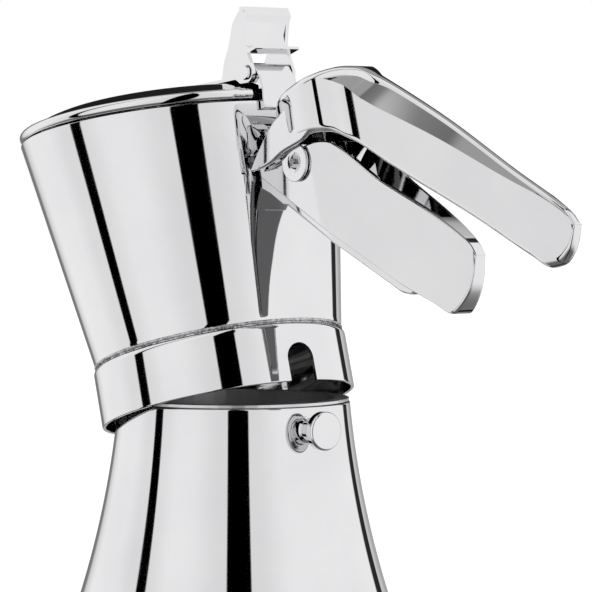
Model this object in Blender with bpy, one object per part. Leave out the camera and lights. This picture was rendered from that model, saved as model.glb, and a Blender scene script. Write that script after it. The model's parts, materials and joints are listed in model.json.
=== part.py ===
"""Lever-lock stovetop coffee maker: boiler, funnel, tilting collector, lid and two-part handle.

Blender 4.5 script, metres, +Z up. The origin is the centre of the underside and the handle points
along +X. The collector is stored tilted up off the boiler, as when it is being hooked on. Pieces of
the collector are laid out about its own axis, with heights measured from its seam, and hang from
one empty that carries the tilt.
"""

from math import atan, cos, exp, pi, radians, sin, sqrt, tan

import bmesh
import bpy
from mathutils import Matrix, Vector

MM = 0.001
GAP = 0.3 * MM            # between pieces that touch

# ---- driving sizes -------------------------------------------------------------------------------
BASE_DISC_R = 50.0 * MM
BASE_DISC_H = 3.5 * MM
BOILER_RIM_Z = 84.0 * MM
BOILER_RIM_R = 34.9 * MM
BOILER_SLOPE = 0.09       # outward flare per depth at the rim
BOILER_FLARE = 1.9        # extra flare per metre of depth squared
BOILER_WALL = 1.0 * MM
BOILER_CORNER = 5.0 * MM

FUNNEL_R = 31.0 * MM
FUNNEL_WALL = 0.8 * MM
FUNNEL_DEPTH = 24.0 * MM
FUNNEL_TUBE_R = 5.0 * MM
FUNNEL_TUBE_LIFT = 6.0 * MM    # tube mouth above the boiler's floor

SEAM_ABOVE_RIM = 5.3 * MM      # closed collector's seam above the boiler's rim
COLLAR_R = 38.5 * MM
COLLAR_WALL = 1.1 * MM
COLLAR_H = 18.5 * MM
SEAM_R = 37.8 * MM
CONE_H = 68.8 * MM             # seam to rim, on the axis
CONE_TOP_R = 48.9 * MM         # at that height
CONE_WALL = 1.0 * MM
RIM_SLANT = radians(5.66)      # rim is higher at the spout
SPOUT_REACH = 4.0 * MM
COLUMN_H = 47.0 * MM
COLUMN_R = 5.2 * MM

STUD_DEPTH = 6.4 * MM          # stud's axis below the boiler's rim
STUD_NECK_R = 3.4 * MM
STUD_HEAD_R = 5.7 * MM
STUD_REACH = 9.6 * MM          # head's face beyond the boiler's rim radius
STUD_HEAD_T = 3.2 * MM
NOTCH_W = 9.5 * MM
NOTCH_CLEAR = 1.2 * MM         # above the neck when closed
LATCH_T = 0.45 * MM
LATCH_START = radians(10)      # latch strip's leading end beside the notch when released
LATCH_SPAN = radians(22)

HOOK_X = -39.76 * MM           # tilt axis, on the spout side
HOOK_DEPTH = 17.52 * MM        # below the boiler's rim
HOOK_PIN_R = 1.2 * MM
HOOK_W = 9.0 * MM
TILT = radians(15.88)

PIVOT_X = 64.2 * MM            # handle's pivot screw, in collector heights
PIVOT_Z = 40.3 * MM
HANDLE_ROOT_HW = 9.9 * MM
HANDLE_TIP_HW = 1.8 * MM
HANDLE_TIP_X = 122.8 * MM
HANDLE_WALL = 1.4 * MM
HANDLE_FLOOR = 4.0 * MM
TROUGH_START_X = 78.0 * MM
TROUGH_END_X = 112.0 * MM
LEVER_TIP_X = 162.0 * MM
LEVER_TIP_HW = 1.4 * MM
LEVER_WALL = 2.2 * MM
CHEEK_T = 2.0 * MM
SCREW_R = 5.7 * MM
SCREW_FACE = 1.0 * MM
SHANK_R = 2.5 * MM
SLOT_HW = 5.6 * MM             # slot in the lower handle for the lever's tongue
TONGUE_HW = 2.2 * MM

LID_PIN_X = 46.0 * MM
LID_PIN_Z = 73.0 * MM
LID_PIN_R = 1.5 * MM
LID_R = 49.3 * MM
LID_EDGE_H = 3.3 * MM
LID_DOME_H = 5.2 * MM
LID_SHEET = 0.9 * MM
LID_LIFT = 0.4 * MM
KNUCKLE_R = 2.8 * MM
KNUCKLE_HW = 6.6 * MM
TAB_SHEET = 1.2 * MM
TAB_TOP_Z = 91.8 * MM

VALVE_AZIMUTH = radians(150)
VALVE_DEPTH = 38.0 * MM
VALVE_SHANK_R = 3.6 * MM
VALVE_HEX_R = 6.4 * MM

GASKET_R = 35.4 * MM
GASKET_BORE_R = 29.9 * MM
GASKET_T = 3.0 * MM
SIEVE_T = 0.8 * MM
SIEVE_HOLE_R = 1.1 * MM
SIEVE_PITCH = 5.6 * MM
SIEVE_RINGS = 4

ROUND = 56                # steps of a large turned piece
SMALL_ROUND = 24          # steps of a pin, stud or screw

CONE_SLOPE = (CONE_TOP_R - SEAM_R) / CONE_H
SEAM_Z = BOILER_RIM_Z + SEAM_ABOVE_RIM
FUNNEL_FLANGE_TOP = BOILER_RIM_Z + GAP + FUNNEL_WALL
GASKET_Z = FUNNEL_FLANGE_TOP + GAP - SEAM_Z
FLOOR_Z = GASKET_Z + GASKET_T + GAP
HOOK_Z = BOILER_RIM_Z - HOOK_DEPTH


# ---- helpers -------------------------------------------------------------------------------------
def clear_scene():
    for obj in list(bpy.data.objects):
        bpy.data.objects.remove(obj, do_unlink=True)


def material(name, colour, metallic, roughness):
    mat = bpy.data.materials.new(name)
    mat.use_nodes = True
    shader = mat.node_tree.nodes["Principled BSDF"]
    shader.inputs["Base Color"].default_value = (*colour, 1.0)
    shader.inputs["Metallic"].default_value = metallic
    shader.inputs["Roughness"].default_value = roughness
    mat.diffuse_color = (*colour, 1.0)
    return mat


def add_object(name, bm, mat):
    bmesh.ops.remove_doubles(bm, verts=bm.verts, dist=1e-6)
    bmesh.ops.recalc_face_normals(bm, faces=bm.faces)
    mesh = bpy.data.meshes.new(name)
    bm.to_mesh(mesh)
    bm.free()
    mesh.shade_smooth()
    mesh.set_sharp_from_angle(angle=radians(35))
    obj = bpy.data.objects.new(name, mesh)
    bpy.context.scene.collection.objects.link(obj)
    obj.data.materials.append(mat)
    return obj


def cutter(name, bm):
    obj = add_object(name, bm, STEEL)
    obj.hide_render = True
    obj.display_type = "WIRE"
    return obj


def boolean(obj, tool, operation="DIFFERENCE"):
    """Applies a Boolean at once, so the result can be placed, and drops the cutter."""
    mod = obj.modifiers.new(operation.lower(), "BOOLEAN")
    mod.operation = operation
    mod.object = tool
    mod.solver = "EXACT"
    graph = bpy.context.evaluated_depsgraph_get()
    mesh = bpy.data.meshes.new_from_object(obj.evaluated_get(graph))
    obj.modifiers.clear()
    old = obj.data
    mesh.name = old.name
    obj.data = mesh
    bpy.data.meshes.remove(old)
    bpy.data.objects.remove(tool, do_unlink=True)
    mesh.shade_smooth()
    mesh.set_sharp_from_angle(angle=radians(35))
    return obj


def place(obj, parent, origin):
    """Gives a piece laid out in collector or world terms its own origin, under a parent."""
    origin = Vector(origin)
    obj.data.transform(Matrix.Translation(-origin))
    obj.parent = parent
    obj.location = origin - Vector(parent["anchor"])
    return obj


def empty(name, at, parent=None):
    obj = bpy.data.objects.new(name, None)
    bpy.context.scene.collection.objects.link(obj)
    obj["anchor"] = at
    obj.parent = parent
    obj.location = Vector(at) - Vector(parent["anchor"]) if parent else Vector(at)
    return obj


def arc(cx, cz, r, start, end, steps):
    """Points on a round stretch, from one angle to another in degrees."""
    angles = [radians(start + (end - start) * i / steps) for i in range(steps + 1)]
    return [(cx + r * cos(a), cz + r * sin(a)) for a in angles]


def turned(profile, steps=ROUND, closed=True):
    """A solid of revolution about Z from (radius, height) points: a ring, or an open chain to the axis."""
    bm = bmesh.new()
    verts = [bm.verts.new((r, 0.0, z)) for r, z in profile]
    pairs = list(zip(verts, verts[1:] + verts[:1])) if closed else list(zip(verts, verts[1:]))
    edges = [bm.edges.new(pair) for pair in pairs]
    bmesh.ops.spin(bm, geom=verts + edges, cent=(0, 0, 0), axis=(0, 0, 1), angle=2 * pi, steps=steps,
                   use_duplicate=False)
    bmesh.ops.remove_doubles(bm, verts=bm.verts, dist=1e-6)
    return bm


def to_axis_y(bm):
    """Turns a piece made about Z so that its axis lies along Y, its top towards -Y."""
    bmesh.ops.rotate(bm, verts=bm.verts, cent=(0, 0, 0), matrix=Matrix.Rotation(radians(90), 3, "X"))
    return bm


def to_axis_x(bm):
    """Turns a piece made about Z so that its axis lies along X, its top towards +X."""
    bmesh.ops.rotate(bm, verts=bm.verts, cent=(0, 0, 0), matrix=Matrix.Rotation(radians(90), 3, "Y"))
    return bm


def move(bm, offset):
    bmesh.ops.translate(bm, verts=bm.verts, vec=offset)
    return bm


def plate(outline, y0, y1, bm=None):
    """An (x, z) outline extruded along Y."""
    bm = bm or bmesh.new()
    verts = [bm.verts.new((x, y0, z)) for x, z in outline]
    face = bm.faces.new(verts)
    made = bmesh.ops.extrude_face_region(bm, geom=[face])
    moved = [v for v in made["geom"] if isinstance(v, bmesh.types.BMVert)]
    bmesh.ops.translate(bm, verts=moved, vec=(0, y1 - y0, 0))
    return bm


def box(low, high, bm=None):
    return plate([(low[0], low[2]), (high[0], low[2]), (high[0], high[2]), (low[0], high[2])],
                 low[1], high[1], bm)


def prism(sides, r, z0, z1):
    bm = bmesh.new()
    bmesh.ops.create_cone(bm, cap_ends=True, segments=sides, radius1=r, radius2=r, depth=z1 - z0)
    return move(bm, (0, 0, (z0 + z1) / 2))


def smooth_through(points, x):
    """A smooth curve through a few (x, value) points that doesn't overshoot between them."""
    xs, ys = zip(*points)
    if x <= xs[0]:
        return ys[0]
    if x >= xs[-1]:
        return ys[-1]
    slopes = [(ys[i + 1] - ys[i]) / (xs[i + 1] - xs[i]) for i in range(len(xs) - 1)]
    tangents = [slopes[0]]
    for a, b in zip(slopes, slopes[1:]):
        tangents.append(2 * a * b / (a + b) if a * b > 0 else 0.0)
    tangents.append(slopes[-1])
    i = max(k for k in range(len(xs) - 1) if xs[k] <= x)
    h = xs[i + 1] - xs[i]
    t = (x - xs[i]) / h
    return ((1 + 2 * t) * (1 - t) ** 2 * ys[i] + t * (1 - t) ** 2 * h * tangents[i]
            + t * t * (3 - 2 * t) * ys[i + 1] + t * t * (t - 1) * h * tangents[i + 1])


def blade_section(x, half_width, ridge, low, high, r_low, r_high, steps=3):
    """A ring of points across a blade at x: upright flanks, then a roof at 45 degrees up to a ridge."""
    half_width = max(half_width, 0.2 * MM)
    half_height = max((high - low) / 2, 0.15 * MM)
    middle = (high + low) / 2
    high, low = middle + half_height, middle - half_height
    r_top = min(r_high, ridge * 0.98, half_height * 0.98)
    r_low = min(r_low, half_width * 0.98, half_height * 0.98)
    eave = max(high - max(half_width - ridge, r_top * 1.02), middle)
    points = [(half_width, eave)]
    points += arc(ridge - r_top, high - r_top, r_top, 0, 90, steps)
    points += arc(r_top - ridge, high - r_top, r_top, 90, 180, steps)
    points += [(-half_width, eave)]
    points += arc(r_low - half_width, low + r_low, r_low, 180, 270, steps)
    points += arc(half_width - r_low, low + r_low, r_low, 270, 360, steps)
    return [(x, y, z) for y, z in points]


def loft(rings):
    """Skins a list of rings of equal length and closes both ends."""
    bm = bmesh.new()
    loops = [[bm.verts.new(p) for p in ring] for ring in rings]
    count = len(rings[0])
    for a, b in zip(loops, loops[1:]):
        for i in range(count):
            j = (i + 1) % count
            bm.faces.new((a[i], a[j], b[j], b[i]))
    bm.faces.new(loops[0])
    bm.faces.new(list(reversed(loops[-1])))
    return bm


def stations(start, end, count):
    """Places along a blade, closer together towards both ends."""
    return [start + (end - start) * (0.5 - 0.5 * cos(pi * i / count)) for i in range(count + 1)]


def coil(radius, wire, turns, length, sides=6, per_turn=14):
    """A helical spring about Z, from z = 0 to its length, with solid ends."""
    rings = []
    total = int(turns * per_turn)
    for i in range(total + 1):
        a = 2 * pi * i / per_turn
        z = wire + (length - 2 * wire) * i / total
        out = Vector((cos(a), sin(a), 0))
        ring = []
        for k in range(sides):
            b = 2 * pi * k / sides
            p = out * (radius + wire * cos(b)) + Vector((0, 0, z + wire * sin(b)))
            ring.append(tuple(p))
        rings.append(ring)
    return loft(rings)


# ---- shapes that several pieces share ------------------------------------------------------------
def boiler_radius(z):
    depth = BOILER_RIM_Z - z
    return BOILER_RIM_R + BOILER_SLOPE * depth + BOILER_FLARE * depth * depth


def cone_radius(z):
    return SEAM_R + CONE_SLOPE * z


def rim_height(x):
    return CONE_H - tan(RIM_SLANT) * x


def handle_half_width(x):
    taper_from = PIVOT_X + SCREW_R + GAP
    share = min(max((x - taper_from) / (HANDLE_TIP_X - taper_from), 0.0), 1.0)
    return HANDLE_ROOT_HW + (HANDLE_TIP_HW - HANDLE_ROOT_HW) * share


# ---- boiler group --------------------------------------------------------------------------------
def make_base_disc():
    edge = 0.8 * MM
    bm = turned([(0, 0), (BASE_DISC_R - edge, 0), (BASE_DISC_R, edge), (BASE_DISC_R, BASE_DISC_H - edge),
                 (BASE_DISC_R - edge, BASE_DISC_H), (0, BASE_DISC_H)], closed=False)
    return add_object("base_disc", bm, BRUSHED)


def make_boiler_shell():
    floor = BASE_DISC_H + GAP
    corner_z = floor + BOILER_CORNER
    rows = 14
    outer = []
    for i in range(rows + 1):
        z = BOILER_RIM_Z - 0.5 * MM - (BOILER_RIM_Z - 0.5 * MM - corner_z) * i / rows
        outer.append((boiler_radius(z), z))
    corner_x = boiler_radius(corner_z) - BOILER_CORNER
    turn = arc(corner_x, corner_z, BOILER_CORNER, 0, -90, 5)[1:]
    inner = [(r - BOILER_WALL, z) for r, z in reversed(outer)]
    inner_turn = arc(corner_x, corner_z, BOILER_CORNER - BOILER_WALL, -90, 0, 4)[:-1]
    rim = [(BOILER_RIM_R - BOILER_WALL + 0.2 * MM, BOILER_RIM_Z), (BOILER_RIM_R - 0.25 * MM, BOILER_RIM_Z)]
    profile = [(0, floor + BOILER_WALL)] + inner_turn + inner + rim + outer + turn + [(0, floor)]
    shell = add_object("boiler_shell", turned(profile, closed=False), STEEL)
    hole = prism(SMALL_ROUND, VALVE_SHANK_R + GAP, -8 * MM, 8 * MM)
    bmesh.ops.transform(hole, matrix=valve_frame() @ Matrix.Rotation(radians(90), 4, "Y"), verts=hole.verts)
    return boolean(shell, cutter("valve_hole_cutter", hole))


def make_lock_stud():
    seat = boiler_radius(BOILER_RIM_Z - STUD_DEPTH) + GAP + 0.25 * MM
    face = BOILER_RIM_R + STUD_REACH
    under = face - STUD_HEAD_T
    edge = 0.7 * MM
    profile = [(0, seat), (STUD_NECK_R, seat), (STUD_NECK_R, under - 0.4 * MM), (STUD_NECK_R + 0.5 * MM, under),
               (STUD_HEAD_R - 0.5 * MM, under), (STUD_HEAD_R, under + 0.5 * MM), (STUD_HEAD_R, face - edge)]
    profile += arc(STUD_HEAD_R - edge, face - edge, edge, 22, 90, 3) + [(0, face + 0.1 * MM)]
    bm = to_axis_x(turned(profile, SMALL_ROUND, closed=False))
    return add_object("lock_stud", move(bm, (0, 0, BOILER_RIM_Z - STUD_DEPTH)), STEEL)


def make_front_hook():
    """Two-eared bracket on the boiler and the pin that the collar's tongue turns on."""
    ear_t = 1.4 * MM
    inside = HOOK_W / 2 + 0.4 * MM
    high, low = HOOK_Z + 2.4 * MM, HOOK_Z - 6.0 * MM
    side = inside + ear_t / 2

    def skin(z):
        return -sqrt(boiler_radius(z) ** 2 - side ** 2) - GAP

    front = HOOK_X - 1.6 * MM
    outline = [(skin(high), high)] + arc(HOOK_X, HOOK_Z, 2.4 * MM, 90, 200, 6)
    outline += [(front, HOOK_Z - 2.6 * MM), (front, low), (skin(low), low)]
    bracket = add_object("front_hook_bracket", plate(outline, -inside - ear_t, -inside), STEEL)
    boolean(bracket, cutter("far_ear", plate(outline, inside, inside + ear_t)), "UNION")
    shelf = box((front, -side, low), (-boiler_radius(low) - GAP, side, low + 1.4 * MM))
    boolean(bracket, cutter("shelf", shelf), "UNION")
    hole = prism(SMALL_ROUND, HOOK_PIN_R + 0.1 * MM + GAP, -10 * MM, 10 * MM)
    boolean(bracket, cutter("hook_hole_cutter", move(to_axis_y(hole), (HOOK_X, 0, HOOK_Z))))
    reach = inside + ear_t + GAP
    head = HOOK_PIN_R + 0.9 * MM
    profile = [(0, -reach - 0.8 * MM), (head, -reach - 0.8 * MM), (head, -reach), (HOOK_PIN_R, -reach),
               (HOOK_PIN_R, reach), (head, reach), (head, reach + 0.8 * MM), (0, reach + 0.8 * MM)]
    pin = to_axis_y(turned(profile, SMALL_ROUND, closed=False))
    return bracket, add_object("front_hook_pin", move(pin, (HOOK_X, 0, HOOK_Z)), STEEL)


def valve_frame():
    """Places +X along the outward normal of the boiler's flank at the safety valve."""
    z = BOILER_RIM_Z - VALVE_DEPTH
    lean = atan(BOILER_SLOPE + 2 * BOILER_FLARE * VALVE_DEPTH)
    return (Matrix.Rotation(VALVE_AZIMUTH, 4, "Z") @ Matrix.Translation((boiler_radius(z), 0, z))
            @ Matrix.Rotation(-lean, 4, "Y"))


def make_valve():
    """Safety valve: flanged body, poppet and spring in its bore, washer and nut inside."""
    flange_in = 0.55 * MM          # clears the flank's curve under the flange
    flange_out = flange_in + 2.6 * MM
    inner_end = -7.6 * MM
    nose = 9.4 * MM
    barrel_r = 4.4 * MM
    bore_r = 3.0 * MM
    lip_r = 1.5 * MM
    seat_x = -2.6 * MM
    stem_r = 0.9 * MM
    lip_t = 1.2 * MM
    frame = valve_frame()

    def fit(name, bm, mat):
        to_axis_x(bm)
        bmesh.ops.transform(bm, matrix=frame, verts=bm.verts)
        return add_object(name, bm, mat)

    body = fit("valve_body", turned(
        [(1.7 * MM, inner_end), (VALVE_SHANK_R, inner_end), (VALVE_SHANK_R, flange_in),
         (VALVE_HEX_R, flange_in), (VALVE_HEX_R, flange_out - 0.5 * MM), (VALVE_HEX_R - 0.5 * MM, flange_out),
         (barrel_r, flange_out), (barrel_r, nose - 0.8 * MM), (barrel_r - 0.8 * MM, nose), (lip_r, nose),
         (lip_r, nose - lip_t), (bore_r, nose - lip_t), (bore_r, seat_x), (1.7 * MM, seat_x)],
        SMALL_ROUND), BRASS)
    poppet_r = bore_r - 0.35 * MM
    poppet = fit("valve_plunger", turned(
        [(0, seat_x + GAP), (poppet_r, seat_x + GAP), (poppet_r, seat_x + 1.6 * MM),
         (stem_r, seat_x + 1.6 * MM), (stem_r, nose + 1.0 * MM), (0, nose + 1.3 * MM)],
        SMALL_ROUND, closed=False), BRASS)
    spring_start = seat_x + 1.6 * MM + GAP
    spring_bm = coil(2.1 * MM, 0.3 * MM, 5, nose - lip_t - GAP - spring_start)
    spring = fit("valve_spring", move(spring_bm, (0, 0, spring_start)), SPRING_STEEL)
    washer_out = -BOILER_WALL - 0.6 * MM
    washer_in = washer_out - 1.2 * MM
    bore = VALVE_SHANK_R + GAP
    washer = fit("valve_washer", turned(
        [(bore, washer_in), (6.2 * MM, washer_in), (6.2 * MM, washer_out), (bore, washer_out)],
        SMALL_ROUND), RUBBER)
    nut = add_object("valve_nut", prism(6, 6.6 * MM, washer_in - GAP - 2.8 * MM, washer_in - GAP), BRASS)
    boolean(nut, cutter("nut_bore_cutter", prism(SMALL_ROUND, bore, -20 * MM, 0)))
    nut.data.transform(frame @ Matrix.Rotation(radians(90), 4, "Y"))
    return body, poppet, spring, washer, nut


def sieve(name, radius, z, mat):
    """A disc with rings of round holes."""
    edge = 0.2 * MM
    disc = add_object(name, turned([(0, z), (radius - edge, z), (radius, z + edge), (radius, z + SIEVE_T - edge),
                                    (radius - edge, z + SIEVE_T), (0, z + SIEVE_T)], 48, closed=False), mat)
    holes = bmesh.new()
    for ring in range(SIEVE_RINGS + 1):
        count = max(1, 6 * ring)
        for i in range(count):
            a = 2 * pi * i / count
            spot = Matrix.Translation((ring * SIEVE_PITCH * cos(a), ring * SIEVE_PITCH * sin(a), z))
            bmesh.ops.create_cone(holes, cap_ends=True, segments=6, radius1=SIEVE_HOLE_R,
                                  radius2=SIEVE_HOLE_R, depth=6 * MM, matrix=spot)
    return boolean(disc, cutter(name + "_cutter", holes))


def make_funnel():
    top = FUNNEL_FLANGE_TOP
    seat = top - FUNNEL_WALL
    flange_r = BOILER_RIM_R - 0.3 * MM
    w = FUNNEL_WALL
    bottom = BOILER_RIM_Z - FUNNEL_DEPTH
    neck_z = bottom - 12 * MM
    tube_end = BASE_DISC_H + GAP + BOILER_WALL + FUNNEL_TUBE_LIFT
    t = FUNNEL_TUBE_R
    profile = [(flange_r, seat), (flange_r, top), (FUNNEL_R - w, top), (FUNNEL_R - w, bottom),
               (t - w, neck_z + 0.6 * MM), (t - w, tube_end), (t, tube_end), (t, neck_z),
               (FUNNEL_R - 0.4 * MM, bottom - 0.8 * MM), (FUNNEL_R, bottom + 0.4 * MM), (FUNNEL_R, seat)]
    basket = add_object("funnel_basket", turned(profile), ALUMINIUM)
    grid = sieve("funnel_sieve", FUNNEL_R - w - GAP, bottom + GAP, ALUMINIUM)
    return basket, grid


# ---- collector group, heights from its seam ------------------------------------------------------
def make_collar():
    inner = COLLAR_R - COLLAR_WALL
    low = -COLLAR_H
    profile = [(inner - 0.7 * MM, -GAP / 2), (SEAM_R - 0.3 * MM, -GAP / 2)]
    profile += arc(COLLAR_R - 1.8 * MM, -2.4 * MM, 1.8 * MM, 62, 0, 4)
    profile += [(COLLAR_R, low + 0.3 * MM), (COLLAR_R - 0.3 * MM, low), (inner + 0.3 * MM, low),
                (inner, low + 0.3 * MM), (inner, -1.8 * MM), (inner - 0.7 * MM, -1.2 * MM)]
    collar = add_object("collar", turned(profile), STEEL)
    notch_top = -SEAM_ABOVE_RIM - STUD_DEPTH + STUD_NECK_R + NOTCH_CLEAR
    r = NOTCH_W / 2
    bm = bmesh.new()
    outline = arc(0, notch_top - r, r, 0, 180, 12) + [(-r, low - 5 * MM), (r, low - 5 * MM)]
    bm = plate(outline, -COLLAR_R - 5 * MM, -COLLAR_R + 12 * MM)
    bmesh.ops.rotate(bm, verts=bm.verts, cent=(0, 0, 0), matrix=Matrix.Rotation(radians(90), 3, "Z"))
    return boolean(collar, cutter("notch_cutter", bm))


def make_collar_tongue():
    """J-shaped tongue on the front of the collar that hooks under the boiler's pin."""
    cx, cz = HOOK_X, HOOK_Z - SEAM_Z
    r_in = HOOK_PIN_R + 0.35 * MM
    r_out = r_in + 1.1 * MM
    shank_top = -12.6 * MM
    web_low = -16.4 * MM
    seat = -COLLAR_R - GAP
    outline = arc(cx, cz, r_out, 180, 300, 10) + arc(cx, cz, r_in, 300, 180, 10)
    outline += [(cx - r_in, web_low), (seat, web_low), (seat, shank_top), (cx - r_out + 0.8 * MM, shank_top),
                (cx - r_out, shank_top - 0.8 * MM)]
    return add_object("collar_tongue", plate(outline, -HOOK_W / 2, HOOK_W / 2), STEEL)


def make_latch_strip():
    """Curved strip behind the notch that turns under the stud's neck."""
    outer = COLLAR_R - COLLAR_WALL - GAP
    inner = outer - LATCH_T
    high = -SEAM_ABOVE_RIM - STUD_DEPTH - STUD_NECK_R - GAP
    low = -COLLAR_H + 0.5 * MM
    start, end, steps = LATCH_START, LATCH_START + LATCH_SPAN, 8
    rings = []
    for i in range(steps + 1):
        a = start + (end - start) * i / steps
        rings.append([(inner * cos(a), inner * sin(a), low), (outer * cos(a), outer * sin(a), low),
                      (outer * cos(a), outer * sin(a), high), (inner * cos(a), inner * sin(a), high)])
    return add_object("latch_strip", loft(rings), SPRING_STEEL)


def make_cone_shell():
    """Flared body with a slanted rim and a small pouring lip on the spout side."""
    def point(azimuth, share, inset):
        lean = cos(azimuth)
        top = CONE_H / (1 + tan(RIM_SLANT) * CONE_SLOPE * lean) - tan(RIM_SLANT) * SEAM_R * lean
        z = GAP / 2 + (top - GAP / 2) * share
        turn = (azimuth - pi) / 0.15
        rise = max(0.0, (share - 0.7) / 0.3)
        lip = SPOUT_REACH * exp(-turn * turn) * rise * rise * (3 - 2 * rise)
        r = cone_radius(z) - inset + lip
        return (r * cos(azimuth), r * sin(azimuth), z)

    shares = [0.0, 0.14, 0.28, 0.42, 0.56, 0.7, 0.78, 0.86, 0.93, 1.0]
    rows = [(s, 0.0) for s in shares] + [(s, CONE_WALL) for s in reversed(shares)]
    bm = bmesh.new()
    grid = [[bm.verts.new(point(2 * pi * i / ROUND, s, inset)) for s, inset in rows] for i in range(ROUND)]
    for i in range(ROUND):
        a, b = grid[i], grid[(i + 1) % ROUND]
        for k in range(len(rows)):
            n = (k + 1) % len(rows)
            bm.faces.new((a[k], b[k], b[n], a[n]))
    return add_object("cone_shell", bm, STEEL)


def make_chamber_floor():
    rim_r = COLLAR_R - COLLAR_WALL - 0.7 * MM - GAP
    z0 = FLOOR_Z
    t = 1.0 * MM
    bore = COLUMN_R + GAP
    neck = bore + 1.2 * MM
    profile = [(rim_r, z0), (rim_r, z0 + t), (26 * MM, z0 + t), (18 * MM, z0 + 3.4 * MM), (neck, z0 + 9 * MM),
               (neck, z0 + 15 * MM), (bore, z0 + 15 * MM), (bore, z0 + 8.4 * MM), (17.6 * MM, z0 + 2.2 * MM),
               (25.6 * MM, z0)]
    floor = add_object("chamber_floor", turned(profile, 48), STEEL)
    low, high = z0 + 9.2 * MM, COLUMN_H
    top_r = COLUMN_R - 1.0 * MM
    w = 0.9 * MM
    column = add_object("coffee_column", turned(
        [(COLUMN_R - w, low), (COLUMN_R, low), (COLUMN_R, z0 + 16 * MM), (top_r, high), (top_r - w, high),
         (COLUMN_R - w, z0 + 16 * MM)], SMALL_ROUND), STEEL)
    cap_in = top_r + GAP + 0.15 * MM
    cap_out = cap_in + 0.9 * MM
    cap_low, cap_top = high - 7 * MM, high + 3.2 * MM
    cap = add_object("column_cap", turned(
        [(0, cap_top - 1.0 * MM), (cap_in - 0.6 * MM, cap_top - 1.2 * MM), (cap_in, cap_top - 2.0 * MM),
         (cap_in, cap_low), (cap_out, cap_low), (cap_out, cap_top - 1.2 * MM), (cap_out - 1.2 * MM, cap_top),
         (0, cap_top + 0.5 * MM)], SMALL_ROUND, closed=False), STEEL)
    return floor, column, cap


def make_gasket():
    z0, z1 = GASKET_Z, GASKET_Z + GASKET_T
    e = 0.4 * MM
    profile = [(GASKET_BORE_R, z0), (GASKET_R - e, z0), (GASKET_R, z0 + e), (GASKET_R, z1 - e),
               (GASKET_R - e, z1), (GASKET_BORE_R, z1)]
    return add_object("gasket", turned(profile, 48), RUBBER)


def make_lid_hinge_bracket():
    """Plate on the cone's rim that carries the lid's hinge pin in a knuckle."""
    t = 1.6 * MM
    low, high = 61.0 * MM, 66.5 * MM
    inside_low, inside_high = cone_radius(low) + GAP, cone_radius(high) + GAP
    px, pz = LID_PIN_X, LID_PIN_Z
    outline = [(inside_low, low), (inside_low + t, low), (inside_high + t, high), (inside_high + t, high + 3.4 * MM)]
    outline += arc(px, pz, KNUCKLE_R, 15, 250, 14)
    outline += [(inside_high - 0.2 * MM, high + 1.6 * MM)]
    bracket = add_object("lid_hinge_bracket", plate(outline, -KNUCKLE_HW, KNUCKLE_HW), STEEL)
    hole = move(to_axis_y(prism(SMALL_ROUND, LID_PIN_R + GAP, -12 * MM, 12 * MM)), (px, 0, pz))
    return boolean(bracket, cutter("knuckle_cutter", hole))


def make_lid_hinge_pin():
    reach = KNUCKLE_HW + GAP + TAB_SHEET + GAP
    head = LID_PIN_R + 0.8 * MM
    e = 0.6 * MM
    profile = [(0, -reach - e), (head - 0.3 * MM, -reach - e), (head, -reach), (LID_PIN_R, -reach),
               (LID_PIN_R, reach), (head, reach), (head - 0.3 * MM, reach + e), (0, reach + e)]
    bm = to_axis_y(turned(profile, 16, closed=False))
    return add_object("lid_hinge_pin", move(bm, (LID_PIN_X, 0, LID_PIN_Z)), STEEL)


def slant(bm, lift):
    """Lays a piece made flat onto the plane of the slanted rim."""
    for v in bm.verts:
        v.co.z += CONE_H + lift - tan(RIM_SLANT) * v.co.x
    return bm


def make_lid_shell():
    """Rolled edge, quick shoulder and a nearly flat crown, cut away around the hinge's knuckle."""
    e, h, s = LID_EDGE_H, LID_DOME_H, LID_SHEET
    roll = e / 2
    outer = arc(LID_R - roll, roll, roll, -60, 80, 6)
    crown = [(LID_R - 4.5 * MM, e + 0.9 * MM), (LID_R - 7.5 * MM, e + 2.3 * MM), (LID_R - 12 * MM, e + 3.6 * MM),
             (LID_R - 22 * MM, e + h * 0.86), (LID_R - 36 * MM, e + h * 0.97), (0, e + h)]
    under = [(r, z - s) for r, z in reversed(crown[:-1])]
    profile = [(0, e + h - s)] + under + [(LID_R - 3.0 * MM, 0.6 * MM), (LID_R - 2.6 * MM, 0.0)] + outer + crown
    bm = turned(profile, ROUND, closed=False)
    lid = add_object("lid_shell", slant(bm, LID_LIFT), STEEL)
    wide = KNUCKLE_HW + GAP + TAB_SHEET + GAP + 0.4 * MM
    gap = box((LID_PIN_X - KNUCKLE_R - 1.2 * MM, -wide, 50 * MM), (60 * MM, wide, 90 * MM))
    return boolean(lid, cutter("lid_gap_cutter", gap))


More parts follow.
